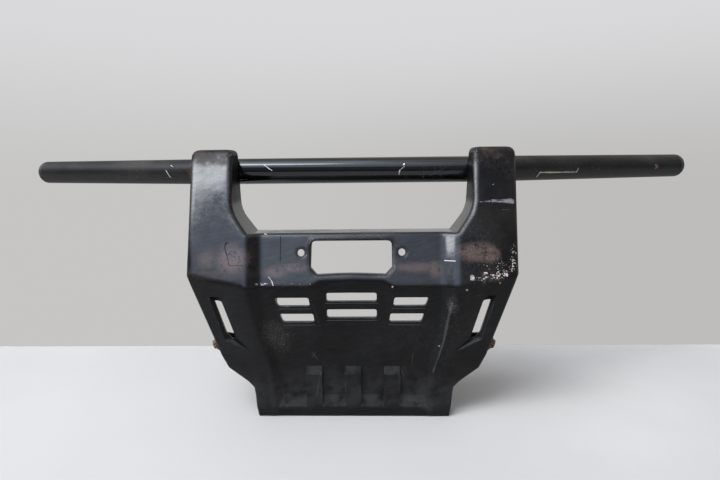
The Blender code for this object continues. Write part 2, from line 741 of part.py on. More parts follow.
def build_cover(look):
    cover = finish_skin(build_cover_skin())
    cover.data.materials.append(look)
    rounding = cover.modifiers.new("rounded_edges", "BEVEL")
    rounding.limit_method = "WEIGHT"
    rounding.width = FRONT_ROUND
    rounding.segments = 3
    rounding.use_clamp_overlap = False
    rounding.miter_outer = "MITER_SHARP"
    wall = cover.modifiers.new("wall", "SOLIDIFY")
    wall.thickness = WALL
    wall.offset = -1.0
    wall.use_even_offset = True
    wall.use_quality_normals = True

    rims = bmesh.new()
    cuts = bmesh.new()
    for outline in slot_outlines():
        middle = sum(x for x, _ in outline) / len(outline)
        face = arch_face if abs(middle) < ARCH_HALF else vent_face
        add_through(rims, outline, SLOT_RIM, face, -WALL / 2, WALL + SLOT_RIM_DEPTH)
        add_through(cuts, outline, 0.0, face, PAST_FACE, WALL + SLOT_RIM_DEPTH + PAST_FACE)
    boolean(cover, add_cutter("cover_slot_rims", rims), "UNION")

    lugs = bmesh.new()
    lug_face = LUG_SET + SEAT - REAR_BEHIND_TUBE
    wall_x = along_side(TOP_TAB_DROP, (HORN_OUTER_HALF, -HORN_TOP_RISE), SIDE_FOOT)
    wall_x += (wing_ahead(wall_x, TOP_TAB_DROP) - lug_face) * tan(HORN_DRAFT) - WALL / 2
    lug_ends = (wall_x - TOP_TAB_REACH, wall_x)
    for sign in (1, -1):
        loops = []
        for ahead in (lug_face + TOP_TAB_THICKNESS, lug_face):
            loops.append([
                at(sign * x, ahead, TOP_TAB_DROP + TOP_TAB_HEIGHT * up)
                for x, up in ((lug_ends[0], -0.5), (lug_ends[1], -0.5),
                              (lug_ends[1], 0.5), (lug_ends[0], 0.5))
            ])
        add_prism(lugs, loops[0], loops[1])
    boolean(cover, add_cutter("cover_rear_lugs", lugs), "UNION")

    side_slot = rounded(SIDE_SLOT, SIDE_SLOT_CORNER, 3)
    place, normal, _ = side_wall_frame()
    corners = tube_corners()
    swept = (corners[3] - corners[2]).normalized()
    tube_hole = TUBE_OD / 2 + TUBE_CLEARANCE
    for sign in (1, -1):
        turn = (lambda p: p) if sign == 1 else mirrored
        front = [turn(at(p.x, wing_low(p.x, p.y) + PAST_FACE, p.y)) for p in side_slot]
        back = [turn(at(p.x, wing_low(p.x, p.y) - 0.030, p.y)) for p in side_slot]
        add_prism(cuts, front, back)
        hole = FAIRLEAD_HOLE / 2
        x = sign * FAIRLEAD_SPACING / 2
        ahead = centre_ahead(FAIRLEAD_DROP)
        add_rod(cuts, at(x, ahead + 0.012, FAIRLEAD_DROP), at(x, ahead - 0.020, FAIRLEAD_DROP), hole)
        bolt = SIDE_BOLT / 2 + HOLE_CLEARANCE
        add_rod(cuts, turn(place + normal * 0.010), turn(place - normal * 0.012), bolt)
        spot = TOP_FIX_X
        screw = TOP_SCREW / 2 + HOLE_CLEARANCE
        add_rod(cuts, at(sign * spot, 0.020, TOP_TAB_DROP), at(sign * spot, -0.020, TOP_TAB_DROP), screw)
        inner = at(sign * HORN_INNER_HALF, 0.0, 0.0)
        stadium(cuts, inner, Vector((1.0, 0.0, 0.0)), 0.012, tube_hole, 0.060)
        outer = turn(corners[2] + swept * ((HORN_OUTER_HALF - TUBE_BEND_X) / cos(TUBE_SWEEP)))
        way = swept if sign == 1 else mirrored(swept)
        stadium(cuts, outer, way, 0.026, tube_hole, 0.060)
    boolean(cover, add_cutter("cover_cuts", cuts), "DIFFERENCE")


def steel(name, bm, look):
    return add_object(name, bm, look)


def build_cross_tube(look):
    bm = bmesh.new()
    path = bent_path(tube_corners(), TUBE_BEND_RADIUS, 6)
    up = Vector((0.0, 0.0, 1.0))
    radius = TUBE_OD / 2
    add_bar(bm, path, up, radius, TUBE_SEGMENTS, radius - TUBE_WALL)
    steel("cross_tube", bm, look)


def build_plug(name, turn, look):
    bm = bmesh.new()
    corners = tube_corners()
    way = (corners[3] - corners[2]).normalized()
    radius = TUBE_OD / 2
    bore = radius - TUBE_WALL - SNUG
    stations = [(-PLUG_STEM, bore - PLUG_LEAD, False), (PLUG_LEAD - PLUG_STEM, bore, False)]
    stations += [(SEAT, bore, False), (SEAT, radius, False), (PLUG_RIM, radius, False)]
    for k in range(1, PLUG_RINGS):
        turned = pi / 2 * k / PLUG_RINGS
        rise = PLUG_RIM + (PLUG_DOME - PLUG_RIM) * sin(turned)
        stations.append((rise, radius * cos(turned) ** PLUG_FULLNESS, False))
    add_lathe(bm, turn(corners[3]), turn(way), stations, TUBE_SEGMENTS)
    steel(name, bm, look)


def upright_corners():
    low = UPRIGHT_LOW_AHEAD
    top, foot = UPRIGHT_JOG_DROPS
    return [
        at(UPRIGHT_TOP_X, 0.0, 0.0),
        at(UPRIGHT_TOP_X, 0.0, top),
        at(UPRIGHT_LOW_X, low, foot),
        at(UPRIGHT_LOW_X, low, UPRIGHT_FOOT_DROP),
    ]


def build_upright(name, turn, look, tube_cutter):
    bm = bmesh.new()
    corners = [turn(p) for p in upright_corners()]
    path = bent_path(corners, UPRIGHT_BEND_RADIUS, 5)
    square = (corners[1] - corners[0]).cross(corners[2] - corners[1]).normalized()
    radius = UPRIGHT_OD / 2
    add_bar(bm, path, square, radius, UPRIGHT_SEGMENTS, radius - UPRIGHT_WALL)
    boolean(steel(name, bm, look), tube_cutter, "DIFFERENCE")


def build_plate(name, turn, look):
    """A drilled plate on the upright's foot; its rear face bolts to the vehicle."""
    bm = bmesh.new()
    half_w, half_h = PLATE_WIDTH / 2, PLATE_HEIGHT / 2
    corners = [(-half_w, -half_h), (half_w, -half_h), (half_w, half_h), (-half_w, half_h)]
    outline = rounded(corners, PLATE_CORNER)
    rear = [turn(Vector((UPRIGHT_LOW_X + p.x, 0.0, p.y))) for p in outline]
    front = [p - Vector((0.0, PLATE_THICKNESS, 0.0)) for p in rear]
    add_prism(bm, front, rear)
    plate = steel(name, bm, look)
    holes = bmesh.new()
    for x in (-0.5, 0.5):
        for z in (-0.5, 0.5):
            spot = turn(Vector((
                UPRIGHT_LOW_X + x * PLATE_HOLE_SPACING[0], PAST_FACE, z * PLATE_HOLE_SPACING[1])))
            end = spot - Vector((0.0, PLATE_THICKNESS + 2 * PAST_FACE, 0.0))
            add_rod(holes, spot, end, PLATE_HOLE / 2)
    boolean(plate, add_cutter(name + "_holes", holes), "DIFFERENCE")


def lug_place():
    """The middle of the lug's outer face: just inside the cover's wall at the side bolt."""
    place, normal, rearward = side_wall_frame()
    return place - normal * (WALL + SEAT), normal, rearward


def build_lower_bar(look):
    """A flat bar whose ends are folded forward and twisted to lie against the side walls."""
    bm = bmesh.new()
    face, normal, rearward = lug_place()
    upward = rearward.cross(normal).normalized()
    if upward.z < 0:
        upward = -upward
    half = BAR_HEIGHT / 2
    bar_ahead = UPRIGHT_LOW_AHEAD + UPRIGHT_OD / 2 + SEAT
    drop = SIDE_BOLT_DROP + half * 0.2
    right = []
    for along in (-LUG_FRONT, LUG_REAR):
        outer = face + rearward * along
        inner = outer - normal * BAR_THICKNESS
        right.append([outer + upward * half, outer - upward * half,
                      inner - upward * half, inner + upward * half])
    fold = right[-1][0].lerp(right[-1][1], 0.5)
    bend_x = fold.x - LUG_FOLD
    for x in (bend_x, UPRIGHT_LOW_X - UPRIGHT_OD / 2):
        near, far = bar_ahead, bar_ahead + BAR_THICKNESS
        right.append([at(x, near, drop - half), at(x, near, drop + half),
                      at(x, far, drop + half), at(x, far, drop - half)])
    left = [[mirrored(p) for p in ring] for ring in right[::-1]]
    add_rings(bm, right + left)
    bar = steel("lower_cross_bar", bm, look)
    holes = bmesh.new()
    for turn in (Vector, mirrored):
        start = turn(face + normal * PAST_FACE)
        end = turn(face - normal * (BAR_THICKNESS + PAST_FACE))
        add_rod(holes, start, end, SIDE_BOLT / 2 + HOLE_CLEARANCE)
    boolean(bar, add_cutter("lower_cross_bar_holes", holes), "DIFFERENCE")


def screw_stations(size, grip):
    """A flanged hexagon screw: its head's seat is at 0 and its shank runs to -grip."""
    head = size * HEAD_HEIGHT
    flange = size * FLANGE_THICKNESS
    across = size * HEX_ACROSS / 2
    return [
        (-grip, size * 0.40, False), (size * 0.12 - grip, size / 2, False), (0.0, size / 2, False),
        (0.0, size * FLANGE_ACROSS / 2, False), (flange, size * FLANGE_ACROSS / 2, False),
        (flange, across * 0.99, True), (head * 0.88, across, True), (head, across * 0.9, False),
    ]


def add_screw(name, seat, axis, size, grip, look):
    bm = bmesh.new()
    add_lathe(bm, seat, axis, screw_stations(size, grip), 24)
    steel(name, bm, look)


def add_nut(name, seat, axis, size, look):
    """A hexagon nut whose seat is at 0 and whose body runs to -its height."""
    bm = bmesh.new()
    height = size * NUT_HEIGHT
    across = size * HEX_ACROSS / 2
    bore = size / 2 + SEAT
    stations = [
        (-height, bore, False), (-height, across * 0.9, False), (-height * 0.86, across, True),
        (-height * 0.14, across, True), (0.0, across * 0.9, False), (0.0, bore, False),
    ]
    add_lathe(bm, seat, axis, stations, 24, loop=True)
    steel(name, bm, look)


def add_washer(name, seat, axis, size, thickness, look):
    bm = bmesh.new()
    bore = size / 2 + HOLE_CLEARANCE
    rim = size * 1.4
    stations = [(0.0, bore, False), (0.0, rim, False), (thickness, rim, False), (thickness, bore, False)]
    add_lathe(bm, seat, axis, stations, 28, loop=True)
    steel(name, bm, look)


def build_side_fixing(side, turn, looks):
    """Washer, screw and nut that clamp the cover's side wall to the lug of the lower bar."""
    place, normal, _ = side_wall_frame()
    washer = SIDE_BOLT * 0.2
    add_washer(f"side_washer_{side}", turn(place + normal * SEAT), turn(normal), SIDE_BOLT, washer, looks)
    seat = place + normal * (2 * SEAT + washer)
    inside = place - normal * (WALL + 2 * SEAT + BAR_THICKNESS)
    nut = SIDE_BOLT * NUT_HEIGHT
    grip = (seat - inside).length + nut + SIDE_BOLT * THREAD_BEYOND_NUT
    add_screw(f"side_bolt_{side}", turn(seat), turn(normal), SIDE_BOLT, grip, looks)
    add_nut(f"side_nut_{side}", turn(inside), turn(normal), SIDE_BOLT, looks)


def build_top_fixing(side, turn, bare, painted):
    """Steel tab on the upright behind the cover's moulded lug, with its screw and nut."""
    bm = bmesh.new()
    front = LUG_SET - REAR_BEHIND_TUBE
    radius = UPRIGHT_OD / 2
    start = UPRIGHT_TOP_X + (radius ** 2 - (REAR_BEHIND_TUBE - LUG_SET) ** 2) ** 0.5
    outline = [(start + TAB_WELD_GAP, -0.5), (TOP_FIX_X + TOP_SCREW * 1.3, -0.5),
               (TOP_FIX_X + TOP_SCREW * 1.3, 0.5), (start + TAB_WELD_GAP, 0.5)]
    loops = []
    for ahead in (front, front - TOP_TAB_THICKNESS):
        loops.append([turn(at(x, ahead, TOP_TAB_DROP + TOP_TAB_HEIGHT * up)) for x, up in outline])
    add_prism(bm, loops[0], loops[1])
    tab = steel(f"top_tab_{side}", bm, painted)
    holes = bmesh.new()
    spot = at(TOP_FIX_X, front, TOP_TAB_DROP)
    rearward = Vector((0.0, 1.0, 0.0))
    screw_hole = TOP_SCREW / 2 + HOLE_CLEARANCE
    add_rod(holes, turn(spot - rearward * PAST_FACE),
            turn(spot + rearward * (TOP_TAB_THICKNESS + PAST_FACE)), screw_hole)
    boolean(tab, add_cutter(f"top_tab_{side}_hole", holes), "DIFFERENCE")
    seat = turn(spot + rearward * (TOP_TAB_THICKNESS + SEAT))
    lug_front = turn(spot - rearward * (2 * SEAT + TOP_TAB_THICKNESS))
    nut = TOP_SCREW * NUT_HEIGHT
    grip = (seat - lug_front).length + nut + TOP_SCREW * THREAD_BEYOND_NUT
    add_screw(f"top_screw_{side}", seat, rearward, TOP_SCREW, grip, bare)
    add_nut(f"top_nut_{side}", lug_front, rearward, TOP_SCREW, bare)


def build():
    for item in list(bpy.data.objects):
        bpy.data.objects.remove(item)
    plastic = material("moulded_plastic", (0.018, 0.019, 0.021), 0.55, 0.0)
    paint = material("tube_paint", (0.012, 0.012, 0.013), 0.32, 0.0)
    cap = material("plug_plastic", (0.015, 0.015, 0.016), 0.6, 0.0)
    rusty = material("rusty_frame_steel", (0.16, 0.075, 0.04), 0.85, 0.3)
    bolt = material("rusty_bolt_steel", (0.22, 0.12, 0.07), 0.75, 0.5)

    build_cover(plastic)
    build_cross_tube(paint)
    clearance = bmesh.new()
    path = bent_path(tube_corners(), TUBE_BEND_RADIUS, 6)
    radius = (TUBE_OD / 2 + SEAT) / cos(pi / TUBE_SEGMENTS)
    add_bar(clearance, path, Vector((0.0, 0.0, 1.0)), radius, TUBE_SEGMENTS)
    tube_cutter = add_cutter("tube_clearance", clearance)
    for side, turn in (("right", Vector), ("left", mirrored)):
        build_plug(f"end_plug_{side}", turn, cap)
        build_upright(f"upright_{side}", turn, rusty, tube_cutter)
        build_plate(f"chassis_plate_{side}", turn, rusty)
        build_side_fixing(side, turn, bolt)
        build_top_fixing(side, turn, bolt, rusty)
    build_lower_bar(rusty)


build()
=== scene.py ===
import bpy
import bmesh
from math import cos, pi, radians, sin, sqrt
from mathutils import Matrix, Vector
from mathutils.bvhtree import BVHTree


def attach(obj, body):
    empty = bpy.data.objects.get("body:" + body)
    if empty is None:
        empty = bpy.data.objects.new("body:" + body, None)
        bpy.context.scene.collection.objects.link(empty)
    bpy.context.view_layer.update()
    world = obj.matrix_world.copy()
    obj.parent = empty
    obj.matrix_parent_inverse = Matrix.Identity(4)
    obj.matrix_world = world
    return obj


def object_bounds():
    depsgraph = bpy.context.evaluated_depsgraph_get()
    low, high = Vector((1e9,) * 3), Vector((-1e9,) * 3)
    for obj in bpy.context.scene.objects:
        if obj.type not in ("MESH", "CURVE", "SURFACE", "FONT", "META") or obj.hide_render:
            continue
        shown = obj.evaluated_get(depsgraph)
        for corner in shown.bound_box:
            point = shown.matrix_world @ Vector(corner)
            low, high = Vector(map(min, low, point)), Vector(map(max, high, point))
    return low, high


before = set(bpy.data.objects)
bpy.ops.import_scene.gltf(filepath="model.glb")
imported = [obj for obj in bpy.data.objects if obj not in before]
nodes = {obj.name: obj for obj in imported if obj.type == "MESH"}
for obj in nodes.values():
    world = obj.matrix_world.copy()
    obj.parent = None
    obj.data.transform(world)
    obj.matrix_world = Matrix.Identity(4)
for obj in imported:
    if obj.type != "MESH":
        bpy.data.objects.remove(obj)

cad_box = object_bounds()


# The camera
# Stands a little right of the middle, 0.75 m in front of the cover and level with the cross tube,
# tipped 9 degrees down. Place, turn and lens come from one camera fitted to the photo's edges.

PHOTO_WIDTH = 720
PHOTO_FOCUS = 502.2
SENSOR_WIDTH = 36.0
CAMERA_PLACE = (0.0346, -0.8480, 0.3134)
CAMERA_YAW = radians(1.547)
CAMERA_TIP = radians(-8.784)
CAMERA_ROLL = radians(0.661)
camera = bpy.data.objects.new("photo_camera", bpy.data.cameras.new("photo_camera"))
bpy.context.scene.collection.objects.link(camera)
camera.data.sensor_width = SENSOR_WIDTH
camera.data.lens = SENSOR_WIDTH * PHOTO_FOCUS / PHOTO_WIDTH
camera.data.clip_start = 0.02
turn = (
    Matrix.Rotation(CAMERA_YAW, 3, "Z")
    @ Matrix.Rotation(CAMERA_TIP, 3, "X")
    @ Matrix.Rotation(CAMERA_ROLL, 3, "Y")
)
camera.location = CAMERA_PLACE
camera.rotation_mode = "QUATERNION"
camera.rotation_quaternion = (turn @ Matrix.Rotation(radians(90.0), 3, "X")).to_quaternion()
bpy.context.scene.camera = camera
bpy.context.scene.view_settings.view_transform = "Standard"


# The studio
# A pale floor under the lower lip and a pale wall behind, both painted lighter on the left, towards
# the window, as painted light; the wall is also painted lighter higher up. The light comes from a wide
# bright window high on the left with cool light round it, and softly from a panel overhead; the
# right side of the room is dim.


def feed(tree, value, socket):
    """Links an output to a socket, or sets the socket to a plain value."""
    if isinstance(value, bpy.types.NodeSocket):
        tree.links.new(value, socket)
    else:
        socket.default_value = value


def node(tree, kind, **settings):
    """Adds a node; settings name its properties, and its inputs with an i_ before the name."""
    made = tree.nodes.new("ShaderNode" + kind)
    for name, value in settings.items():
        if name.startswith("i_"):
            key = name[2:]
            feed(tree, value, made.inputs[int(key) if key.isdigit() else key.replace("_", " ")])
        else:
            setattr(made, name, value)
    return made


def maths(tree, operation, a, b=0.0, clamp=False):
    return node(tree, "Math", operation=operation, use_clamp=clamp, i_0=a, i_1=b).outputs[0]


def plus(tree, a, b, clamp=False):
    return maths(tree, "ADD", a, b, clamp)


def minus(tree, a, b):
    return maths(tree, "SUBTRACT", a, b)


def times(tree, a, b, clamp=False):
    return maths(tree, "MULTIPLY", a, b, clamp)


def ramp(tree, value, low, high, to_low=0.0, to_high=1.0):
    """A smooth step of a value from low to high."""
    return node(
        tree, "MapRange", interpolation_type="SMOOTHSTEP", i_Value=value,
        i_From_Min=low, i_From_Max=high, i_To_Min=to_low, i_To_Max=to_high).outputs["Result"]


def noise(tree, place, scale, detail=2.0, roughness=0.5):
    return node(
        tree, "TexNoise", i_Vector=place, i_Scale=scale, i_Detail=detail,
        i_Roughness=roughness).outputs["Fac"]


def axis(tree, place, name):
    return node(tree, "SeparateXYZ", i_Vector=place).outputs[name]


def mix(tree, factor, a, b):
    """Mixes two colours."""
    return node(tree, "Mix", data_type="RGBA", i_0=factor, i_6=a, i_7=b).outputs[2]


DIM_ROOM = (0.30, 0.30, 0.32, 1.0)
COOL_LIGHT = (2.00, 2.30, 2.95, 1.0)
LOW_LIGHT = (0.14, 0.14, 0.15, 1.0)
WINDOW_LIGHT = (14.0, 14.6, 15.4, 1.0)
LIGHT_FROM_BEHIND = (0.50, 0.50, 0.50, 1.0)
WALL_LEFT = (0.565, 0.560, 0.553, 1.0)
WALL_RIGHT = (0.515, 0.506, 0.500, 1.0)
WALL_HIGH = (0.700, 0.700, 0.715, 1.0)
WINDOW_FOOT_AZIMUTH = -0.646
WINDOW_FOOT_RISE = 0.761
WINDOW_FOOT_SLOPE = 0.50
WINDOW_FOOT_RAGGED = 0.11

world = bpy.data.worlds.new("studio")
bpy.context.scene.world = world
world.use_nodes = True
sky = world.node_tree
sky.nodes.clear()
look = node(sky, "TexCoord").outputs["Generated"]
aim = node(sky, "SeparateXYZ", i_Vector=look)
turned = maths(sky, "ARCTAN2", aim.outputs["X"], times(sky, aim.outputs["Y"], -1.0))
raised = maths(sky, "ARCSINE", aim.outputs["Z"])
cool = ramp(sky, turned, 0.52, -0.22)
cool = times(sky, cool, ramp(sky, raised, 0.50, 0.66))
cool = times(sky, cool, ramp(sky, turned, -1.9, -1.3))
room = mix(sky, cool, DIM_ROOM, COOL_LIGHT)
low = ramp(sky, raised, 0.22, 0.02)
room = mix(sky, low, room, LOW_LIGHT)
ragged = noise(sky, look, 11.0, 6.0)
edge = times(sky, plus(sky, turned, -WINDOW_FOOT_AZIMUTH), WINDOW_FOOT_SLOPE)
edge = minus(sky, raised, plus(sky, edge, WINDOW_FOOT_RISE))
edge = plus(sky, edge, times(sky, minus(sky, ragged, 0.5), WINDOW_FOOT_RAGGED))
window = times(sky, ramp(sky, edge, -0.012, 0.014), ramp(sky, turned, -0.08, -0.22))
window = times(sky, window, ramp(sky, turned, -1.35, -1.10))
window = times(sky, window, ramp(sky, raised, 1.20, 1.05))
room = mix(sky, window, room, WINDOW_LIGHT)
behind = ramp(sky, aim.outputs["Y"], -0.15, 0.45)
room = mix(sky, behind, room, LIGHT_FROM_BEHIND)
# Painted light: the wall seen behind is painted lighter on the left, towards the window, and lighter
# higher up.
across = ramp(sky, aim.outputs["X"], -0.35, 0.45)
shade = ramp(sky, aim.outputs["Z"], -0.05, 0.28)
wall = mix(sky, across, WALL_LEFT, WALL_RIGHT)
wall = mix(sky, shade, wall, WALL_HIGH)
seen = node(sky, "LightPath").outputs["Is Camera Ray"]
tone = mix(sky, seen, room, wall)
background = node(sky, "Background", i_Color=tone, i_Strength=1.0)
feed(sky, background.outputs[0], node(sky, "OutputWorld").inputs["Surface"])

PANEL_SIZE = (2.6, 2.0)
PANEL_POWER = 14.0
PANEL_DISTANCE = 2.4
PANEL_AZIMUTH = radians(-20.0)
PANEL_RISE = radians(80.0)
PANEL_AIM = Vector((0.0, 0.0, 0.15))

panel = bpy.data.lights.new("ceiling_panel", "AREA")
panel.shape = "RECTANGLE"
panel.size, panel.size_y = PANEL_SIZE
panel.energy = PANEL_POWER
panel.color = (1.0, 0.98, 0.95)
lamp = bpy.data.objects.new("ceiling_panel", panel)
bpy.context.scene.collection.objects.link(lamp)
way = Vector((
    sin(PANEL_AZIMUTH) * cos(PANEL_RISE), -cos(PANEL_AZIMUTH) * cos(PANEL_RISE), sin(PANEL_RISE)))
lamp.location = PANEL_AIM + way * PANEL_DISTANCE
lamp.rotation_euler = (-way).to_track_quat("-Z", "Y").to_euler()

FLOOR_Z = cad_box[0].z
FLOOR_CORNERS = ((-2.6, -2.4), (2.6, -2.4), (2.6, 0.252), (-2.6, 0.236))
FLOOR_LEFT = (0.520, 0.502, 0.478, 1.0)
FLOOR_RIGHT = (0.435, 0.420, 0.400, 1.0)
FLOOR_CLOUD = (0.490, 0.473, 0.450, 1.0)


def new_material(name):
    made = bpy.data.materials.new(name)
    made.use_nodes = True
    return made, made.node_tree, made.node_tree.nodes["Principled BSDF"]


bm = bmesh.new()
bm.faces.new([bm.verts.new((x, y, FLOOR_Z)) for x, y in FLOOR_CORNERS])
floor_mesh = bpy.data.meshes.new("studio_floor")
bm.to_mesh(floor_mesh)
bm.free()
floor = bpy.data.objects.new("studio_floor", floor_mesh)
bpy.context.scene.collection.objects.link(floor)
paint, tree, shader = new_material("floor_paint")
place = node(tree, "TexCoord").outputs["Object"]
cloud = noise(tree, place, 3.0, 5.0)
# Painted light: the floor is painted lighter on the left, towards the window; the cloud is a random tone.
across = axis(tree, place, "X")
tone = mix(tree, ramp(tree, across, -0.7, 0.7), FLOOR_LEFT, FLOOR_RIGHT)
tone = mix(tree, ramp(tree, cloud, 0.35, 0.7), tone, FLOOR_CLOUD)
feed(tree, tone, shader.inputs["Base Color"])
shader.inputs["Roughness"].default_value = 0.55
floor_mesh.materials.append(paint)


# The moulded cover
# One injection moulding of black plastic, 3 mm thick, that wraps the cross tube with two horns and
# slopes back under the vehicle, held by a bolt at each side and a screw behind each horn. Hazed,
# rubbed brown where something chafed it, gouged, and chipped along the lower right corner.


def new_group(name, inputs, outputs):
    """A shader group; inputs and outputs are lists of name, kind and starting value."""
    tree = bpy.data.node_groups.new(name, "ShaderNodeTree")
    for title, kind, value in inputs:
        socket = tree.interface.new_socket(title, in_out="INPUT", socket_type="NodeSocket" + kind)
        if value is not None:
            socket.default_value = value
    for title, kind in outputs:
        tree.interface.new_socket(title, in_out="OUTPUT", socket_type="NodeSocket" + kind)
    return tree, tree.nodes.new("NodeGroupInput").outputs, tree.nodes.new("NodeGroupOutput").inputs


def use(tree, group, **values):
    """Places a shader group in a material; values name its inputs with _ for a space."""
    made = node(tree, "Group", node_tree=group)
    for name, value in values.items():
        feed(tree, value, made.inputs[name.replace("_", " ")])
    return made.outputs


def vector(tree, operation, a, b=(0.0, 0.0, 0.0), scale=1.0):
    made = node(tree, "VectorMath", operation=operation, i_0=a, i_1=b, i_3=scale)
    return made.outputs["Value" if operation in ("LENGTH", "DOT_PRODUCT") else "Vector"]


def stroke_mask(tree, position, start, end, width, taper, breakup, grain):
    """One scratch between two points. Its end tapers and the grain breaks it up."""
    along = vector(tree, "SUBTRACT", end, start)
    away = vector(tree, "SUBTRACT", position, start)
    share = maths(
        tree, "DIVIDE", vector(tree, "DOT_PRODUCT", away, along),
        vector(tree, "DOT_PRODUCT", along, along), clamp=True)
    nearest = vector(tree, "SCALE", along, scale=share)
    gap = vector(tree, "LENGTH", vector(tree, "SUBTRACT", away, nearest))
    thin = minus(tree, 1.0, times(tree, taper, share))
    half = times(tree, times(tree, width, 0.5), thin)
    ragged = times(tree, minus(tree, grain, 0.5), breakup)
    reach = maths(tree, "DIVIDE", gap, half)
    reach = plus(tree, reach, times(tree, ragged, 2.5))
    return ramp(tree, reach, 1.15, 0.55)


# A stroke as a group, for the scratches of several materials.
stroke, came, gone = new_group(
    "stroke",
    [("Position", "Vector", None), ("From", "Vector", None), ("To", "Vector", None),
     ("Width", "Float", 0.001), ("Taper", "Float", 0.5), ("Breakup", "Float", 0.3),
     ("Grain", "Float", 0.5)],
    [("Mask", "Float")],
)
mask = stroke_mask(
    stroke, came["Position"], came["From"], came["To"],
    came["Width"], came["Taper"], came["Breakup"], came["Grain"])
feed(stroke, mask, gone["Mask"])

# A patch: one soft-edged area round a point, as an oval with a ragged rim.
patch, came, gone = new_group(
    "patch",
    [("Position", "Vector", None), ("Centre", "Vector", None), ("Half Size", "Vector", (1, 1, 1)),
     ("Softness", "Float", 0.5), ("Ragged", "Float", 0.6), ("Grain", "Float", 0.5)],
    [("Mask", "Float")],
)
away = vector(patch, "SUBTRACT", came["Position"], came["Centre"])
away = vector(patch, "LENGTH", vector(patch, "DIVIDE", away, came["Half Size"]))
ragged = times(patch, minus(patch, came["Grain"], 0.5), came["Ragged"])
away = plus(patch, away, times(patch, ragged, 2.0))
mask = ramp(patch, away, plus(patch, 1.0, came["Softness"]), minus(patch, 1.0, came["Softness"]))
feed(patch, mask, gone["Mask"])

# Worn edges: where the rounded normal leaves the face's own normal, broken up by noise.
edge_wear, came, gone = new_group(
    "edge_wear",
    [("Radius", "Float", 0.002), ("Noise Scale", "Float", 60.0), ("Amount", "Float", 0.5)],
    [("Mask", "Float")],
)
place = node(edge_wear, "TexCoord").outputs["Object"]
rounded = node(edge_wear, "Bevel", samples=4, i_Radius=came["Radius"]).outputs["Normal"]
flat = node(edge_wear, "NewGeometry").outputs["Normal"]
turned = minus(edge_wear, 1.0, vector(edge_wear, "DOT_PRODUCT", rounded, flat))
edge = ramp(edge_wear, turned, 0.015, 0.14)
rubbed = noise(edge_wear, place, came["Noise Scale"], 6.0)
rubbed = plus(edge_wear, rubbed, minus(edge_wear, came["Amount"], 0.5))
feed(edge_wear, times(edge_wear, edge, ramp(edge_wear, rubbed, 0.44, 0.62)), gone["Mask"])

# Dust: settles on what faces up, thicker in blotches, with single specks.
dust, came, gone = new_group(
    "dust",
    [("Amount", "Float", 0.5), ("Blotch Scale", "Float", 14.0), ("Speck Scale", "Float", 420.0)],
    [("Mask", "Float")],
)
place = node(dust, "TexCoord").outputs["Object"]
up = axis(dust, node(dust, "NewGeometry").outputs["Normal"], "Z")
blotch = ramp(dust, noise(dust, place, came["Blotch Scale"], 7.0), 0.42, 0.68)
speck = node(dust, "TexVoronoi", i_Vector=place, i_Scale=came["Speck Scale"])
speck = ramp(dust, speck.outputs["Distance"], 0.30, 0.12)
fallen = times(dust, ramp(dust, up, 0.05, 0.9), blotch)
lone = times(dust, times(dust, speck, blotch), 0.5)
feed(dust, times(dust, plus(dust, fallen, lone), came["Amount"], clamp=True), gone["Mask"])

# Fine scratches: thin lines from stretched noise, in three crossing directions.
fine_scratches, came, gone = new_group(
    "fine_scratches",
    [("Scale", "Float", 30.0), ("Stretch", "Float", 12.0), ("Amount", "Float", 0.5)],
    [("Mask", "Float")],
)
place = node(fine_scratches, "TexCoord").outputs["Object"]
lines = None
for tip, seed in ((24.0, 0.0), (-38.0, 4.0), (82.0, 9.0)):
    squeeze = node(fine_scratches, "CombineXYZ", i_X=came["Stretch"], i_Y=1.0, i_Z=1.0).outputs[0]
    turned = node(fine_scratches, "VectorRotate", rotation_type="Y_AXIS", i_Vector=place)
    turned.inputs["Angle"].default_value = radians(tip)
    scaled = vector(fine_scratches, "MULTIPLY", turned.outputs[0], squeeze)
    scaled = vector(fine_scratches, "ADD", scaled, (seed, seed, seed))
    wisp = noise(fine_scratches, scaled, came["Scale"])
    line = maths(fine_scratches, "ABSOLUTE", minus(fine_scratches, wisp, 0.5))
    line = ramp(fine_scratches, line, 0.012, 0.002)
    lines = line if lines is None else maths(fine_scratches, "MAXIMUM", lines, line)
parts = noise(fine_scratches, place, 9.0, 3.0)
parts = plus(fine_scratches, parts, minus(fine_scratches, came["Amount"], 0.5))
lines = times(fine_scratches, lines, ramp(fine_scratches, parts, 0.48, 0.72))
feed(fine_scratches, lines, gone["Mask"])


def plan(tree, place):
    """The position with its depth dropped, for marks that are placed from the front."""
    return vector(tree, "MULTIPLY", place, (1.0, 0.0, 1.0))


def facing_front(tree):
    """One on what faces the front, nought on sides, backs and inner walls."""
    normal = node(tree, "NewGeometry").outputs["True Normal"]
    return ramp(tree, vector(tree, "DOT_PRODUCT", normal, (0.0, -1.0, 0.0)), 0.05, 0.35)


def strongest(tree, masks):
    """Several masks as one, with the strongest at each place."""
    total = None
    for mask in masks:
        total = mask if total is None else maths(tree, "MAXIMUM", total, mask)
    return total


def strokes(tree, position, grain, marks):
    """All scratches of one kind as one mask; a mark is x, z, x, z, width, taper, breakup."""
    def one(x1, z1, x2, z2, width, taper, breakup):
        return use(
            tree, stroke, Position=position, From=(x1, 0.0, z1), To=(x2, 0.0, z2),
            Width=width, Taper=taper, Breakup=breakup, Grain=grain)["Mask"]

    return strongest(tree, (one(*mark) for mark in marks))


def patches(tree, position, grain, marks):
    """All patches of one kind as one mask.

    A mark is x, z, half width, half height, softness, raggedness and strength.
    """
    def one(x, z, wide, high, soft, ragged, strength):
        mask = use(
            tree, patch, Position=position, Centre=(x, 0.0, z), Half_Size=(wide, 1.0, high),
            Softness=soft, Ragged=ragged, Grain=grain)["Mask"]
        return times(tree, mask, strength)

    return strongest(tree, (one(*mark) for mark in marks))


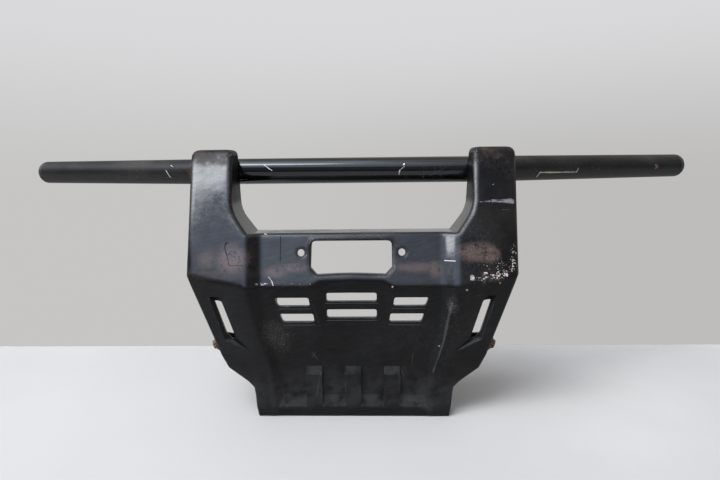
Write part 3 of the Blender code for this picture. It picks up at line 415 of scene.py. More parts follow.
# Marks of the cover, each kind measured from the front.
BROWN_RUBS = (
    (-0.1850, 0.1660, 0.0230, 0.0200, 0.6, 1.3, 1.00),
    (-0.2240, 0.1660, 0.0150, 0.0130, 0.7, 1.3, 0.60),
    (-0.0900, 0.1530, 0.0250, 0.0060, 0.6, 1.0, 0.75),
    (-0.1180, 0.1470, 0.0180, 0.0080, 0.6, 1.2, 0.80),
    (0.1950, 0.1755, 0.0310, 0.0135, 0.4, 0.8, 1.00),
    (0.2130, 0.1730, 0.0160, 0.0120, 0.4, 0.8, 1.00),
    (0.1020, 0.1530, 0.0320, 0.0065, 0.6, 1.0, 0.75),
    (0.1290, 0.1500, 0.0100, 0.0120, 0.6, 1.0, 0.85),
    (-0.2050, 0.1450, 0.0400, 0.0060, 0.9, 1.2, 0.35),
)
DARK_GOUGES = (
    (-0.1956, 0.1906, -0.1972, 0.1840, 0.0016, 0.2, 0.6),
    (-0.1972, 0.1840, -0.1871, 0.1581, 0.0010, 0.1, 0.5),
    (-0.1871, 0.1581, -0.1643, 0.1590, 0.0010, 0.6, 0.9),
    (-0.1956, 0.1906, -0.1920, 0.1918, 0.0020, 0.5, 0.9),
    (-0.1118, 0.2000, -0.1105, 0.1600, 0.0008, 0.3, 1.2),
    (0.1925, 0.1887, 0.1895, 0.1701, 0.0009, 0.3, 0.9),
    (0.1895, 0.1701, 0.1826, 0.1603, 0.0008, 0.5, 0.9),
    (0.2075, 0.1800, 0.2065, 0.1690, 0.0009, 0.4, 0.9),
    (0.2065, 0.1745, 0.2260, 0.1735, 0.0008, 0.4, 1.1),
    (0.2215, 0.2540, 0.2212, 0.2470, 0.0022, 0.3, 0.6),
)
WHITE_SCRATCHES = (
    (-0.1276, 0.1403, -0.1225, 0.1350, 0.0008, 0.2, 0.6),
    (-0.1225, 0.1350, -0.1199, 0.1283, 0.0016, 0.3, 0.6),
    (-0.1385, 0.2030, -0.1345, 0.2022, 0.0016, 0.3, 1.2),
    (0.1438, 0.1626, 0.1594, 0.1632, 0.0012, 0.2, 0.8),
)
FAINT_SCRATCHES = (
    (-0.0653, 0.0144, -0.0568, 0.0006, 0.0008, 0.3, 1.2),
    (-0.0585, 0.0144, -0.0646, 0.0052, 0.0008, 0.3, 1.2),
    (-0.0517, -0.0198, -0.0560, -0.0420, 0.0008, 0.3, 1.2),
    (-0.0560, -0.0420, -0.0607, -0.0630, 0.0009, 0.6, 1.3),
    (0.0792, -0.0184, 0.0817, -0.0300, 0.0008, 0.4, 1.3),
    (0.0963, 0.0123, 0.0951, -0.0080, 0.0008, 0.3, 1.5),
    (0.0400, 0.2000, 0.1000, 0.1700, 0.0005, 0.3, 1.4),
    (0.2380, 0.2375, 0.2500, 0.2368, 0.0007, 0.3, 2.4),
)
PURPLE_SCRAPES = (
    (0.2550, 0.2497, 0.2230, 0.2512, 0.0082, 0.60, 0.5),
    (0.2300, 0.2510, 0.2035, 0.2498, 0.0032, 0.6, 1.2),
)
CHIPPED = (
    (0.2300, 0.1440, 0.0110, 0.0060, 0.5, 0.8, 1.00),
    (0.2040, 0.1435, 0.0050, 0.0080, 0.5, 0.8, 0.90),
    (0.1960, 0.1375, 0.0160, 0.0030, 0.6, 0.8, 0.75),
    (0.2180, 0.1400, 0.0200, 0.0040, 0.6, 0.8, 0.90),
    (0.2460, 0.1560, 0.0070, 0.0100, 0.6, 0.8, 0.75),
    (0.2500, 0.1740, 0.0050, 0.0120, 0.7, 0.8, 0.55),
    (0.2200, 0.1560, 0.0300, 0.0120, 0.8, 0.8, 0.35),
    (0.2000, 0.3300, 0.0080, 0.0060, 0.8, 0.8, 0.45),
    (-0.1990, 0.3300, 0.0060, 0.0080, 0.8, 0.8, 0.45),
    (-0.1380, 0.1305, 0.0120, 0.0016, 0.6, 0.8, 0.80),
    (-0.0900, 0.1300, 0.0400, 0.0012, 0.6, 0.8, 0.35),
)
SINGLE_CHIPS = (
    (0.1832, 0.1401, 0.0028, 0.0032, 0.30, 0.9, 1.0),
    (0.1746, 0.1221, 0.0017, 0.0015, 0.30, 0.9, 0.8),
    (0.2259, 0.1304, 0.0014, 0.0014, 0.30, 0.9, 0.9),
    (0.0632, 0.1255, 0.0015, 0.0014, 0.30, 0.9, 0.7),
    (0.2270, 0.2760, 0.0008, 0.0008, 0.3, 0.6, 0.6),
    (0.1364, 0.0270, 0.0010, 0.0010, 0.3, 0.6, 0.6),
)
GREY_SCUFFS = (
    (-0.1180, 0.0430, 0.0170, 0.0230, 0.8, 1.6, 0.60),
    (0.1104, -0.0620, 0.0080, 0.0150, 0.7, 1.6, 0.55),
    (0.1550, 0.0970, 0.0075, 0.0120, 0.6, 1.6, 0.90),
    (0.1240, -0.0780, 0.0100, 0.0100, 0.7, 1.6, 0.40),
    (0.0800, -0.0260, 0.0060, 0.0140, 0.8, 1.6, 0.35),
    (0.2008, 0.1376, 0.0036, 0.0080, 0.7, 1.0, 0.80),
    (0.2190, 0.1376, 0.0130, 0.0045, 0.7, 1.0, 0.80),
    (-0.2330, 0.3330, 0.0400, 0.0060, 0.8, 1.8, 0.55),
    (-0.2640, 0.3050, 0.0060, 0.0260, 0.8, 1.8, 0.45),
    (0.2330, 0.3340, 0.0400, 0.0050, 0.8, 1.8, 0.45),
)
# A pale line painted down the ridge right of the middle: a painted highlight, in strokes.
RIDGE_HIGHLIGHTS = (
    (0.1535, 0.1013, 0.1490, 0.0776, 0.0050, 0.1, 1.0),
    (0.1490, 0.0776, 0.1434, 0.0383, 0.0044, 0.0, 1.1),
    (0.1434, 0.0383, 0.1364, 0.0102, 0.0034, 0.0, 1.3),
    (0.1364, 0.0102, 0.1281, -0.0186, 0.0026, 0.2, 1.5),
)
# Painted highlights along the slot edges: the height, and from and to how far off the middle.
SLOT_HIGHLIGHTS = (
    (0.0980, 0.0000, 0.0400),
    (0.0697, 0.0000, 0.0385),
    (0.0898, 0.0630, 0.1130),
    (0.0623, 0.0580, 0.1060),
)

BLACK = (0.0016, 0.0016, 0.0017, 1.0)
FADED_BLACK = (0.0040, 0.0040, 0.0042, 1.0)
RUN_BLACK = (0.0012, 0.0012, 0.0013, 1.0)
RUB_BROWN = (0.094, 0.064, 0.055, 1.0)
SCUFF_GREY = (0.130, 0.118, 0.104, 1.0)
HORN_DARK = (0.009, 0.008, 0.008, 1.0)
HORN_BROWN = (0.045, 0.033, 0.027, 1.0)
SKID_GREY = (0.020, 0.0195, 0.0195, 1.0)
LEDGE_HIGHLIGHT_GREY = (0.030, 0.030, 0.030, 1.0)
POCKET_PAINTED_LIGHT = (0.020, 0.020, 0.0205, 1.0)
SLOT_HIGHLIGHT_GREY = (0.060, 0.062, 0.068, 1.0)
RIDGE_HIGHLIGHT_GREY = (0.085, 0.085, 0.090, 1.0)
FAINT_GREY = (0.16, 0.15, 0.14, 1.0)
HAIR_GREY = (0.10, 0.10, 0.10, 1.0)
EDGE_GREY = (0.14, 0.14, 0.145, 1.0)
SCRAPE_PURPLE = (0.240, 0.212, 0.240, 1.0)
GOUGE_BLACK = (0.0030, 0.0030, 0.0035, 1.0)
CHIP_DARK = (0.19, 0.15, 0.125, 1.0)
CHIP_PALE = (0.62, 0.54, 0.49, 1.0)
CUT_WHITE = (0.62, 0.61, 0.61, 1.0)
COVER_DUST = (0.17, 0.155, 0.135, 1.0)

# Heights, or distances from the middle, over which an area of wear or of painted light sets in.
HORN_RUB = (0.300, 0.332)
SKID_RUB = (0.0, -0.05)
LIP_TOP = (-0.090, -0.072)
LEDGE_TOP = (0.09, 0.06)
POCKET_SIDE = (0.142, 0.150)
POCKET_TOP = (0.118, 0.110)

plastic, tree, shader = new_material("cover_plastic_worn")
place = node(tree, "TexCoord").outputs["Object"]
flat_place = plan(tree, place)
front = facing_front(tree)
fine = noise(tree, place, 260.0, 4.0)
cloud = noise(tree, place, 11.0, detail=6.0, roughness=0.6)
mottle = noise(tree, place, 55.0, 5.0)
grain = plus(tree, times(tree, fine, 0.55), times(tree, mottle, 0.45))
up = axis(tree, node(tree, "NewGeometry").outputs["Normal"], "Z")
polished = ramp(tree, up, 0.02, 0.30)

runs = noise(tree, vector(tree, "MULTIPLY", place, (1.0, 1.0, 0.10)), 48.0)
runs = ramp(tree, runs, 0.45, 0.62)
black = mix(tree, ramp(tree, cloud, 0.35, 0.70), BLACK, FADED_BLACK)
black = mix(tree, times(tree, runs, 0.35), black, RUN_BLACK)
brown = times(tree, patches(tree, flat_place, grain, BROWN_RUBS), front)
brown = times(tree, brown, ramp(tree, grain, 0.28, 0.56))
tone = mix(tree, times(tree, brown, 0.85), black, RUB_BROWN)
scuff = times(tree, patches(tree, flat_place, grain, GREY_SCUFFS), front)
speckle = noise(tree, place, 760.0, 4.0)
scuff = times(tree, scuff, ramp(tree, speckle, 0.47, 0.66))
tone = mix(tree, scuff, tone, SCUFF_GREY)
level = axis(tree, place, "Z")
rubbed = plus(tree, level, times(tree, minus(tree, mottle, 0.5), 0.040))
rubbed = times(tree, ramp(tree, rubbed, *HORN_RUB), ramp(tree, grain, 0.20, 0.55, to_low=0.7, to_high=1.0))
rub_tone = mix(tree, ramp(tree, mottle, 0.48, 0.66), HORN_DARK, HORN_BROWN)
tone = mix(tree, times(tree, rubbed, 0.75), tone, rub_tone)
skid = times(tree, ramp(tree, level, *SKID_RUB), ramp(tree, mottle, 0.25, 0.65))
skid = times(tree, skid, ramp(tree, level, *LIP_TOP))
tone = mix(tree, times(tree, skid, 0.80), tone, SKID_GREY)
# Painted highlight: faces low on the cover that face up are painted a lighter grey in patches, where they
# catch the light.
normal = node(tree, "NewGeometry").outputs["True Normal"]
ledge = axis(tree, normal, "Z")
ledge = times(tree, ramp(tree, ledge, 0.20, 0.36), ramp(tree, level, *LEDGE_TOP))
ledge = times(tree, ledge, ramp(tree, mottle, 0.30, 0.62))
tone = mix(tree, ledge, tone, LEDGE_HIGHLIGHT_GREY)
# Painted light: the steep walls of the side pockets are painted a lighter grey, lifting their shade; they
# also gleam less.
steep = ramp(tree, vector(tree, "DOT_PRODUCT", normal, (0.0, -1.0, 0.0)), 0.84, 0.66)
aside = maths(tree, "ABSOLUTE", axis(tree, place, "X"))
hollow = times(tree, ramp(tree, aside, *POCKET_SIDE), ramp(tree, level, *POCKET_TOP))
hollow = times(tree, hollow, steep)
tone = mix(tree, hollow, tone, POCKET_PAINTED_LIGHT)
# Thin pale lines painted along the slot rims: painted highlights.
slot_highlight = 0.0
for height_up, inner, outer in SLOT_HIGHLIGHTS:
    off = maths(tree, "ABSOLUTE", minus(tree, level, height_up))
    line = times(tree, ramp(tree, off, 0.0008, 0.0003), ramp(tree, aside, outer + 0.002, outer))
    if inner:
        line = times(tree, line, ramp(tree, aside, inner - 0.002, inner))
    slot_highlight = maths(tree, "MAXIMUM", slot_highlight, line)
slot_highlight = times(tree, slot_highlight, front)
tone = mix(tree, times(tree, slot_highlight, 0.75), tone, SLOT_HIGHLIGHT_GREY)
# The ridge's painted highlight.
ridge_highlight = times(tree, strokes(tree, flat_place, grain, RIDGE_HIGHLIGHTS), front)
tone = mix(tree, times(tree, ridge_highlight, 0.42), tone, RIDGE_HIGHLIGHT_GREY)
faint = times(tree, strokes(tree, flat_place, grain, FAINT_SCRATCHES), front)
tone = mix(tree, times(tree, faint, 0.38), tone, FAINT_GREY)
hair = use(tree, fine_scratches, Scale=34.0, Stretch=9.0, Amount=0.50)["Mask"]
tone = mix(tree, times(tree, hair, 0.20), tone, HAIR_GREY)
worn = use(tree, edge_wear, Radius=0.0016, Noise_Scale=70.0, Amount=0.44)["Mask"]
tone = mix(tree, times(tree, worn, 0.55), tone, EDGE_GREY)
purple = times(tree, strokes(tree, flat_place, grain, PURPLE_SCRAPES), front)
drag = noise(tree, vector(tree, "MULTIPLY", place, (0.12, 1.0, 1.0)), 420.0)
purple = times(tree, purple, ramp(tree, drag, 0.30, 0.58))
tone = mix(tree, times(tree, purple, 0.82), tone, SCRAPE_PURPLE)

# The gouges also dull the gleam below, which no group may feed, so they are built in here.
gouge = strongest(tree, (
    stroke_mask(tree, flat_place, (x1, 0.0, z1), (x2, 0.0, z2), width, taper, breakup, grain)
    for x1, z1, x2, z2, width, taper, breakup in DARK_GOUGES))
gouge = times(tree, gouge, front)
tone = mix(tree, times(tree, gouge, 0.9), tone, GOUGE_BLACK)
bent = node(tree, "TexNoise", i_Vector=place, i_Scale=420.0, i_Detail=3.0).outputs["Color"]
bent = vector(tree, "ADD", place, vector(tree, "SCALE", bent, scale=0.004))
fleck = node(tree, "TexVoronoi", i_Vector=bent, i_Scale=430.0)
size = axis(tree, fleck.outputs["Color"], "X")
flecked = times(tree, patches(tree, flat_place, grain, CHIPPED), ramp(tree, size, 0.15, 1.0))
chip = minus(tree, times(tree, flecked, 0.80), fleck.outputs["Distance"])
chip = ramp(tree, chip, -0.12, 0.10)
chip = maths(tree, "MAXIMUM", chip, patches(tree, flat_place, grain, SINGLE_CHIPS))
chip = times(tree, chip, front)
chip_tone = mix(tree, ramp(tree, fine, 0.35, 0.62), CHIP_DARK, CHIP_PALE)
tone = mix(tree, chip, tone, chip_tone)
cut = times(tree, strokes(tree, flat_place, grain, WHITE_SCRATCHES), front)
tone = mix(tree, times(tree, cut, 0.85), tone, CUT_WHITE)
grime = use(tree, dust, Amount=0.55, Blotch_Scale=16.0, Speck_Scale=500.0)["Mask"]
tone = mix(tree, times(tree, grime, 0.16), tone, COVER_DUST)
feed(tree, tone, shader.inputs["Base Color"])

rough = ramp(tree, polished, 0.0, 1.0, to_low=0.44, to_high=0.085)
haze = plus(tree, minus(tree, cloud, 0.5), minus(tree, mottle, 0.5))
rough = plus(tree, rough, times(tree, haze, 0.14))
rough = plus(tree, rough, times(tree, minus(tree, fine, 0.5), 0.16))
rough = plus(tree, rough, times(tree, rubbed, 0.30))
wiped = node(tree, "VectorRotate", rotation_type="Y_AXIS", i_Vector=place)
wiped.inputs["Angle"].default_value = radians(14.0)
wiped = vector(tree, "MULTIPLY", wiped.outputs[0], (0.16, 1.0, 1.0))
wiped = noise(tree, wiped, 230.0, 5.0)
wiped = ramp(tree, wiped, 0.36, 0.64)
rough = plus(tree, rough, times(tree, minus(tree, runs, 0.5), 0.03))
roughened = (
    (brown, 0.16), (scuff, 0.25), (chip, 0.35), (cut, 0.3), (purple, 0.2), (grime, 0.3), (hair, 0.1))
for mask, amount in roughened:
    rough = plus(tree, rough, times(tree, mask, amount), clamp=True)
feed(tree, rough, shader.inputs["Roughness"])

wave = noise(tree, place, 26.0, 1.0)
eased = node(tree, "Bevel", samples=6, i_Radius=0.009).outputs["Normal"]
height = times(tree, wave, 0.35)
height = plus(tree, height, times(tree, fine, 0.035))
pits = noise(tree, place, 900.0, 2.0)
height = plus(tree, height, times(tree, pits, 0.012))
height = minus(tree, height, times(tree, gouge, 0.5))
eased = vector(tree, "SCALE", eased, scale=polished)
own = node(tree, "NewGeometry").outputs["Normal"]
own = vector(tree, "SCALE", own, scale=minus(tree, 1.001, polished))
eased = vector(tree, "NORMALIZE", vector(tree, "ADD", eased, own))
bump = node(tree, "Bump", i_Height=height, i_Strength=0.4, i_Distance=0.0012, i_Normal=eased)
feed(tree, bump.outputs["Normal"], shader.inputs["Normal"])
shader.inputs["IOR"].default_value = 1.47
gleam = ramp(tree, polished, 0.0, 1.0, to_low=0.24, to_high=0.50)
gleam = times(tree, gleam, minus(tree, 1.0, gouge))
for mask, amount in ((rubbed, 0.74), (hollow, 0.60), (wiped, 0.16)):
    gleam = times(tree, gleam, minus(tree, 1.0, times(tree, mask, amount)))
feed(tree, gleam, shader.inputs["Specular IOR Level"])


def finish_node(name, material, bevel=0.0, angle=0.0):
    """Dresses a CAD node: joins its split corners, eases its sharp edges, gives it its material."""
    solid = nodes[name]
    solid.data.materials.clear()
    solid.data.materials.append(material)
    weld = solid.modifiers.new("joined_corners", "WELD")
    weld.merge_threshold = 0.00001
    if bevel:
        ease = solid.modifiers.new("eased_edges", "BEVEL")
        ease.width = bevel
        ease.segments = 2
        ease.limit_method = "ANGLE"
        ease.angle_limit = radians(angle)
        ease.harden_normals = True
    smooth = solid.modifiers.new("even_shading", "WEIGHTED_NORMAL")
    smooth.keep_sharp = True
    for face in solid.data.polygons:
        face.use_smooth = True


finish_node("bumper_cover", plastic, bevel=0.0007, angle=40.0)


# The cross tube and its end caps
# Steel tube, 44.5 mm across, bent back on both sides and painted gloss black. The middle is still
# glossy; the sides have gone matt and dusty, scratched to the primer and rusty in spots. A rounded
# black cap is pressed into each end.

TUBE_WHITE = (
    (-0.1521, 0.3117, -0.1450, 0.3060, 0.0010, 0.2, 0.4),
    (-0.1450, 0.3060, -0.1381, 0.3014, 0.0016, 0.5, 0.4),
    (0.0880, 0.3104, 0.0866, 0.3085, 0.0022, 0.1, 0.7),
    (-0.3397, 0.3030, -0.3317, 0.2900, 0.0012, 0.4, 0.9),
    (-0.3300, 0.3120, -0.3240, 0.3090, 0.0010, 0.4, 0.9),
)
TUBE_TAN = (
    (0.0880, 0.3060, 0.0800, 0.2990, 0.0010, 0.2, 1.0),
    (0.0800, 0.2990, 0.0791, 0.2931, 0.0024, 0.3, 0.8),
    (0.3268, 0.2850, 0.3308, 0.2921, 0.0022, 0.1, 0.9),
    (0.3308, 0.2921, 0.3700, 0.2918, 0.0026, 0.1, 1.3),
    (0.3700, 0.2918, 0.4067, 0.2915, 0.0020, 0.3, 1.6),
    (0.4067, 0.2915, 0.4097, 0.2985, 0.0014, 0.3, 1.2),
)
TUBE_RUST = (
    (0.5865, 0.2990, 0.0060, 0.0045, 0.4, 1.2, 1.0),
    (-0.2800, 0.3000, 0.0100, 0.0200, 0.6, 1.8, 0.6),
    (0.1900, 0.2810, 0.0060, 0.0040, 0.5, 1.2, 1.0),
    (-0.1930, 0.3060, 0.0040, 0.0120, 0.5, 1.6, 0.8),
)

GLOSS_BLACK = (0.0025, 0.0025, 0.0027, 1.0)
MATT_DARK = (0.0050, 0.0046, 0.0044, 1.0)
MATT_PALE = (0.0110, 0.0098, 0.0090, 1.0)
SPECK_GREY = (0.20, 0.19, 0.17, 1.0)
SPOT_DARK = (0.115, 0.038, 0.012, 1.0)
SPOT_PALE = (0.30, 0.20, 0.12, 1.0)
PRIMER_TAN = (0.48, 0.43, 0.36, 1.0)
PRIMER_WHITE = (0.68, 0.68, 0.70, 1.0)
TUBE_HAIR = (0.16, 0.16, 0.17, 1.0)
TUBE_DUST = (0.21, 0.19, 0.16, 1.0)
WEATHERED_FROM = (0.235, 0.275)

coat, tree, shader = new_material("tube_paint_worn")
place = node(tree, "TexCoord").outputs["Object"]
flat_place = plan(tree, place)
front = facing_front(tree)
fine = noise(tree, place, 320.0, 4.0)
mottle = noise(tree, place, 70.0, 5.0)
cloud = noise(tree, place, 9.0, 6.0)
grain = plus(tree, times(tree, fine, 0.55), times(tree, mottle, 0.45))
across = axis(tree, place, "X")
weathered = ramp(tree, maths(tree, "ABSOLUTE", across), *WEATHERED_FROM)
matt = mix(tree, ramp(tree, cloud, 0.35, 0.7), MATT_DARK, MATT_PALE)
tone = mix(tree, weathered, GLOSS_BLACK, matt)
specks = ramp(tree, fine, 0.60, 0.70)
specks = times(tree, specks, plus(tree, times(tree, weathered, 0.12), 0.03))
tone = mix(tree, specks, tone, SPECK_GREY)
rust = times(tree, patches(tree, flat_place, grain, TUBE_RUST), ramp(tree, mottle, 0.47, 0.58))
tone = mix(tree, rust, tone, mix(tree, fine, SPOT_DARK, SPOT_PALE))
tan = times(tree, strokes(tree, flat_place, grain, TUBE_TAN), front)
tone = mix(tree, times(tree, tan, 0.9), tone, PRIMER_TAN)
white = times(tree, strokes(tree, flat_place, grain, TUBE_WHITE), front)
tone = mix(tree, white, tone, PRIMER_WHITE)
hair = use(tree, fine_scratches, Scale=40.0, Stretch=0.15, Amount=0.44)["Mask"]
tone = mix(tree, times(tree, hair, 0.18), tone, TUBE_HAIR)
grime = use(tree, dust, Amount=0.6, Blotch_Scale=12.0, Speck_Scale=480.0)["Mask"]
grime = times(tree, grime, plus(tree, times(tree, weathered, 0.75), 0.25))
tone = mix(tree, times(tree, grime, 0.20), tone, TUBE_DUST)
feed(tree, tone, shader.inputs["Base Color"])
feed(tree, ramp(tree, weathered, 0.0, 1.0, to_low=0.5, to_high=0.28), shader.inputs["Specular IOR Level"])
rough = ramp(tree, weathered, 0.0, 1.0, to_low=0.10, to_high=0.46)
rough = plus(tree, rough, times(tree, minus(tree, cloud, 0.5), 0.12))
for mask, amount in ((rust, 0.5), (tan, 0.4), (white, 0.4), (grime, 0.3), (hair, 0.15)):
    rough = plus(tree, rough, times(tree, mask, amount), clamp=True)
feed(tree, rough, shader.inputs["Roughness"])
height = times(tree, noise(tree, place, 45.0), 0.10)
height = plus(tree, height, times(tree, times(tree, fine, weathered), 0.06))
height = plus(tree, height, times(tree, rust, times(tree, fine, 0.4)))
height = minus(tree, height, times(tree, maths(tree, "MAXIMUM", tan, white), 0.2))
bump = node(tree, "Bump", i_Height=height, i_Strength=0.5, i_Distance=0.001)
feed(tree, bump.outputs["Normal"], shader.inputs["Normal"])
finish_node("cross_tube", coat)

CAP_DARK = (0.012, 0.012, 0.012, 1.0)
CAP_PALE = (0.028, 0.027, 0.026, 1.0)
CAP_DUST = (0.20, 0.18, 0.15, 1.0)
CAP_WORN = (0.13, 0.13, 0.125, 1.0)

cap, tree, shader = new_material("cap_plastic_worn")
place = node(tree, "TexCoord").outputs["Object"]
mottle = noise(tree, place, 120.0, 5.0)
tone = mix(tree, mottle, CAP_DARK, CAP_PALE)
grime = use(tree, dust, Amount=0.5, Blotch_Scale=40.0, Speck_Scale=700.0)["Mask"]
tone = mix(tree, times(tree, grime, 0.35), tone, CAP_DUST)
worn = use(tree, edge_wear, Radius=0.001, Noise_Scale=160.0, Amount=0.5)["Mask"]
tone = mix(tree, times(tree, worn, 0.4), tone, CAP_WORN)
feed(tree, tone, shader.inputs["Base Color"])
feed(tree, ramp(tree, mottle, 0.3, 0.7, to_low=0.42, to_high=0.58), shader.inputs["Roughness"])
bump = node(tree, "Bump", i_Height=mottle, i_Strength=0.25, i_Distance=0.0006)
feed(tree, bump.outputs["Normal"], shader.inputs["Normal"])
for side in ("left", "right"):
    finish_node("end_plug_" + side, cap)


# The steel frame behind the cover
# Two bent tubes, welded to the cross tube and to a drilled plate each, with a flat bar across them
# whose folded ends take the side bolts. Black paint gone brown with rust and road dust.

RUST_DARK = (0.034, 0.016, 0.009, 1.0)
RUST_ORANGE = (0.120, 0.056, 0.026, 1.0)
RUST_PALE = (0.20, 0.145, 0.085, 1.0)
ROAD_DUST = (0.26, 0.22, 0.16, 1.0)

rusting, came, gone = new_group(
    "rusting",
    [("Amount", "Float", 0.5), ("Scale", "Float", 30.0)],
    [("Colour", "Color"), ("Mask", "Float"), ("Height", "Float")],
)
place = node(rusting, "TexCoord").outputs["Object"]
broad = noise(rusting, place, came["Scale"], detail=8.0, roughness=0.65)
crust = noise(rusting, place, 380.0, 5.0)
spread = plus(rusting, broad, minus(rusting, came["Amount"], 0.5))
mask = ramp(rusting, spread, 0.47, 0.56)
orange = mix(rusting, ramp(rusting, crust, 0.35, 0.65), RUST_DARK, RUST_ORANGE)
orange = mix(rusting, ramp(rusting, spread, 0.60, 0.80), orange, RUST_PALE)
feed(rusting, orange, gone["Colour"])
feed(rusting, mask, gone["Mask"])
feed(rusting, times(rusting, mask, plus(rusting, 0.4, crust)), gone["Height"])


def rusty_metal(name, paint, bare, amount, scale, metallic, rough_paint, rough_bare):
    """Paint or plating over steel, rusted through in part."""
    made, tree, shader = new_material(name)
    place = node(tree, "TexCoord").outputs["Object"]
    mottle = noise(tree, place, 90.0, 5.0)
    tone = mix(tree, mottle, paint, bare)
    rust = use(tree, rusting, Amount=amount, Scale=scale)
    worn = use(tree, edge_wear, Radius=0.0012, Noise_Scale=110.0, Amount=0.5)["Mask"]
    grime = use(tree, dust, Amount=0.7, Blotch_Scale=22.0, Speck_Scale=500.0)["Mask"]
    eaten = maths(tree, "MAXIMUM", rust["Mask"], times(tree, worn, 0.8))
    tone = mix(tree, eaten, tone, rust["Colour"])
    tone = mix(tree, times(tree, grime, 0.5), tone, ROAD_DUST)
    feed(tree, tone, shader.inputs["Base Color"])
    if metallic:
        feed(tree, times(tree, minus(tree, 1.0, eaten), metallic), shader.inputs["Metallic"])
    rough = ramp(tree, mottle, 0.3, 0.7, to_low=rough_paint, to_high=rough_bare)
    rough = plus(tree, rough, times(tree, eaten, 0.4), clamp=True)
    feed(tree, rough, shader.inputs["Roughness"])
    bump = node(tree, "Bump", i_Height=rust["Height"], i_Strength=0.6, i_Distance=0.0006)
    feed(tree, bump.outputs["Normal"], shader.inputs["Normal"])
    return made


FRAME_PAINT = (0.012, 0.012, 0.012, 1.0)
FRAME_FADED = (0.022, 0.021, 0.020, 1.0)

frame_steel = rusty_metal(
    "frame_steel_worn", FRAME_PAINT, FRAME_FADED,
    amount=0.47, scale=24.0, metallic=0.0, rough_paint=0.34, rough_bare=0.46)
for name in (
        "upright_left", "upright_right", "chassis_plate_left", "chassis_plate_right",
        "lower_cross_bar", "top_tab_left", "top_tab_right"):
    finish_node(name, frame_steel, bevel=0.0005, angle=35.0)


# The welds of the steel frame
# Rippled beads of weld metal, run by hand and painted over: a saddle where each upright meets the
# cross tube, and short fillets where it meets its plate, the flat bar and the tab behind the horn.

TUBE_AXIS_Y = 0.037825
TUBE_AXIS_Z = 0.300
UPRIGHT_RADIUS = 0.015875
UPRIGHT_FOOT_Y = TUBE_AXIS_Y - 0.060
BAR_Z = 0.0184
BAR_WELD_HALF = 0.011
BEAD_SIDES = 8
RIPPLE = 0.0021
TUBE_BEAD = 0.0026
PLATE_BEAD = 0.0024
BAR_BEAD = 0.0020
TAB_BEAD = 0.0016
SADDLE_POINTS = 280
SADDLE_STANDOFF = 0.0012
SADDLE_SINK = Vector((0.0, 0.0, 0.0008))
RAY_START = 0.040
PLATE_STEPS = (-0.0072, 0.0072)
PLATE_STANDOFF = 0.0016
PLATE_FOOT = 0.007
PLATE_HEAD = 0.004
BAR_STEPS = (-0.0070, 0.0070)
BAR_SINK = 0.0010
TAB_STANDOFF = 0.0012
TAB_SIDE = 0.0004
TAB_END = 0.003
BEAD_PAINT = (0.016, 0.015, 0.014, 1.0)
BEAD_BARE = (0.040, 0.034, 0.030, 1.0)


def node_box(name):
    corners = [nodes[name].matrix_world @ v.co for v in nodes[name].data.vertices]
    return [Vector([pick(c[k] for c in corners) for k in range(3)]) for pick in (min, max)]


def weld_bead(name, runs, radius, closed, seed):
    """Beads swept along runs of points, heaped up in overlapping ripples like a row of coins."""
    bm = bmesh.new()
    for points in runs:
        rings = []
        walked = seed
        count = len(points)
        for k, point in enumerate(points):
            before = points[k - 1] if closed or k else point
            after = points[(k + 1) % count] if closed or k + 1 < count else point
            way = (after - before).normalized()
            side = way.cross(Vector((0.3, 0.5, 0.8))).normalized()
            up = way.cross(side)
            walked += (after - before).length / 2
            phase = (walked / RIPPLE) % 1.0

            # Each ripple swells and falls, a little unevenly, and an open bead tapers at its ends.
            heap = radius * (0.86 + 0.16 * sqrt(1.0 - (2.0 * phase - 1.0) ** 2))
            heap *= 1.0 + 0.06 * sin(walked * 910.0)
            if not closed:
                heap *= min(1.0, 0.45 + 2.2 * min(k, count - 1 - k) / count * 4.0)
            rings.append([
                bm.verts.new(point + (side * cos(a) + up * sin(a)) * heap)
                for a in (2 * pi * j / BEAD_SIDES for j in range(BEAD_SIDES))])
        pairs = list(zip(rings, rings[1:]))
        if closed:
            pairs.append((rings[-1], rings[0]))
        for one, two in pairs:
            for j in range(BEAD_SIDES):
                bm.faces.new([one[j], one[j - 1], two[j - 1], two[j]])
        if not closed:
            bm.faces.new(rings[0])
            bm.faces.new(rings[-1][::-1])
    bmesh.ops.recalc_face_normals(bm, faces=bm.faces)
    mesh = bpy.data.meshes.new(name)
    bm.to_mesh(mesh)
    bm.free()
    for face in mesh.polygons:
        face.use_smooth = True
    mesh.materials.append(weld_steel)
    piece = bpy.data.objects.new(name, mesh)
    bpy.context.scene.collection.objects.link(piece)
    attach(piece, "root")


def upright_line(x, y, low, high):
    """Points of a straight run up at x, y."""
    count = max(12, int((high - low) / RIPPLE * 6))
    return [Vector((x, y, low + (high - low) * k / (count - 1))) for k in range(count)]


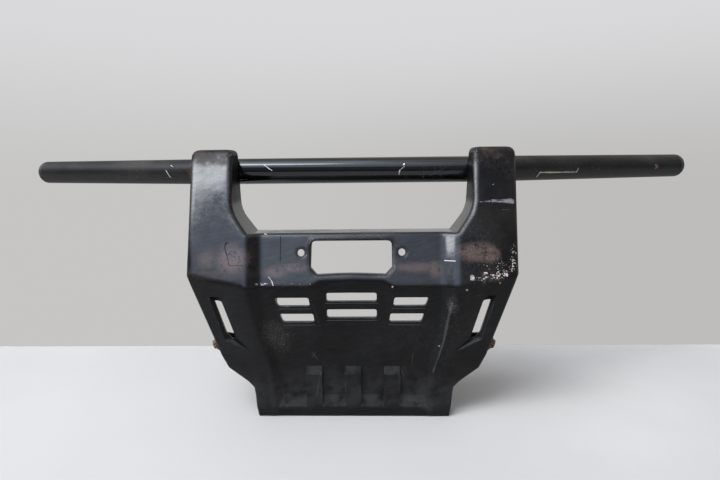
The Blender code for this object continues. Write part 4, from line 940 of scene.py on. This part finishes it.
weld_steel = rusty_metal(
    "weld_bead_painted", BEAD_PAINT, BEAD_BARE,
    amount=0.53, scale=60.0, metallic=0.2, rough_paint=0.36, rough_bare=0.52)
tube_mesh = nodes["cross_tube"]
tube_corners = [tube_mesh.matrix_world @ v.co for v in tube_mesh.data.vertices]
tube_tree = BVHTree.FromPolygons(tube_corners, [list(f.vertices) for f in tube_mesh.data.polygons])
for side, hand in (("left", -1.0), ("right", 1.0)):
    plate = node_box("chassis_plate_" + side)
    tab = node_box("top_tab_" + side)
    upright = node_box("upright_" + side)
    foot_x = (plate[0].x + plate[1].x) / 2
    top_x = hand * max(abs(upright[0].x), abs(upright[1].x)) - hand * UPRIGHT_RADIUS
    saddle = []
    reach = UPRIGHT_RADIUS + SADDLE_STANDOFF
    for k in range(SADDLE_POINTS):
        a = 2 * pi * k / SADDLE_POINTS
        start = Vector(
            (top_x + reach * cos(a), TUBE_AXIS_Y + reach * sin(a), TUBE_AXIS_Z - RAY_START))
        met = tube_tree.ray_cast(start, Vector((0.0, 0.0, 1.0)))[0]
        if met is not None:
            saddle.append(met - SADDLE_SINK)
    weld_bead("tube_weld_" + side, [saddle], TUBE_BEAD, True, 0.0)
    seat = plate[0].y - PLATE_STANDOFF
    fillets = [
        upright_line(foot_x + step, seat, plate[0].z + PLATE_FOOT, plate[1].z - PLATE_HEAD)
        for step in PLATE_STEPS]
    weld_bead("plate_weld_" + side, fillets, PLATE_BEAD, False, 0.001)
    seat = UPRIGHT_FOOT_Y - UPRIGHT_RADIUS + BAR_SINK
    fillets = [
        upright_line(foot_x + step, seat, BAR_Z - BAR_WELD_HALF, BAR_Z + BAR_WELD_HALF)
        for step in BAR_STEPS]
    weld_bead("bar_weld_" + side, fillets, BAR_BEAD, False, 0.002)
    inner = tab[0].x if hand > 0 else tab[1].x
    fillets = [
        upright_line(inner + hand * TAB_STANDOFF, y, tab[0].z + TAB_END, tab[1].z - TAB_END)
        for y in (tab[0].y - TAB_SIDE, tab[1].y + TAB_SIDE)]
    weld_bead("tab_weld_" + side, fillets, TAB_BEAD, False, 0.003)


# The screws
# Zinc-plated hexagon screws with nuts, and washers at the sides: one through each lower side edge
# of the cover, and one through a tab behind each horn. The plating has gone and the heads are
# brown with rust.

ZINC_BRIGHT = (0.34, 0.33, 0.30, 1.0)
ZINC_DULL = (0.24, 0.22, 0.19, 1.0)

screw_steel = rusty_metal(
    "screw_steel_rusty", ZINC_BRIGHT, ZINC_DULL,
    amount=0.60, scale=130.0, metallic=0.9, rough_paint=0.38, rough_bare=0.55)
for side in ("left", "right"):
    for part in ("side_bolt_", "side_nut_", "side_washer_", "top_screw_", "top_nut_"):
        finish_node(part + side, screw_steel, bevel=0.0002, angle=28.0)
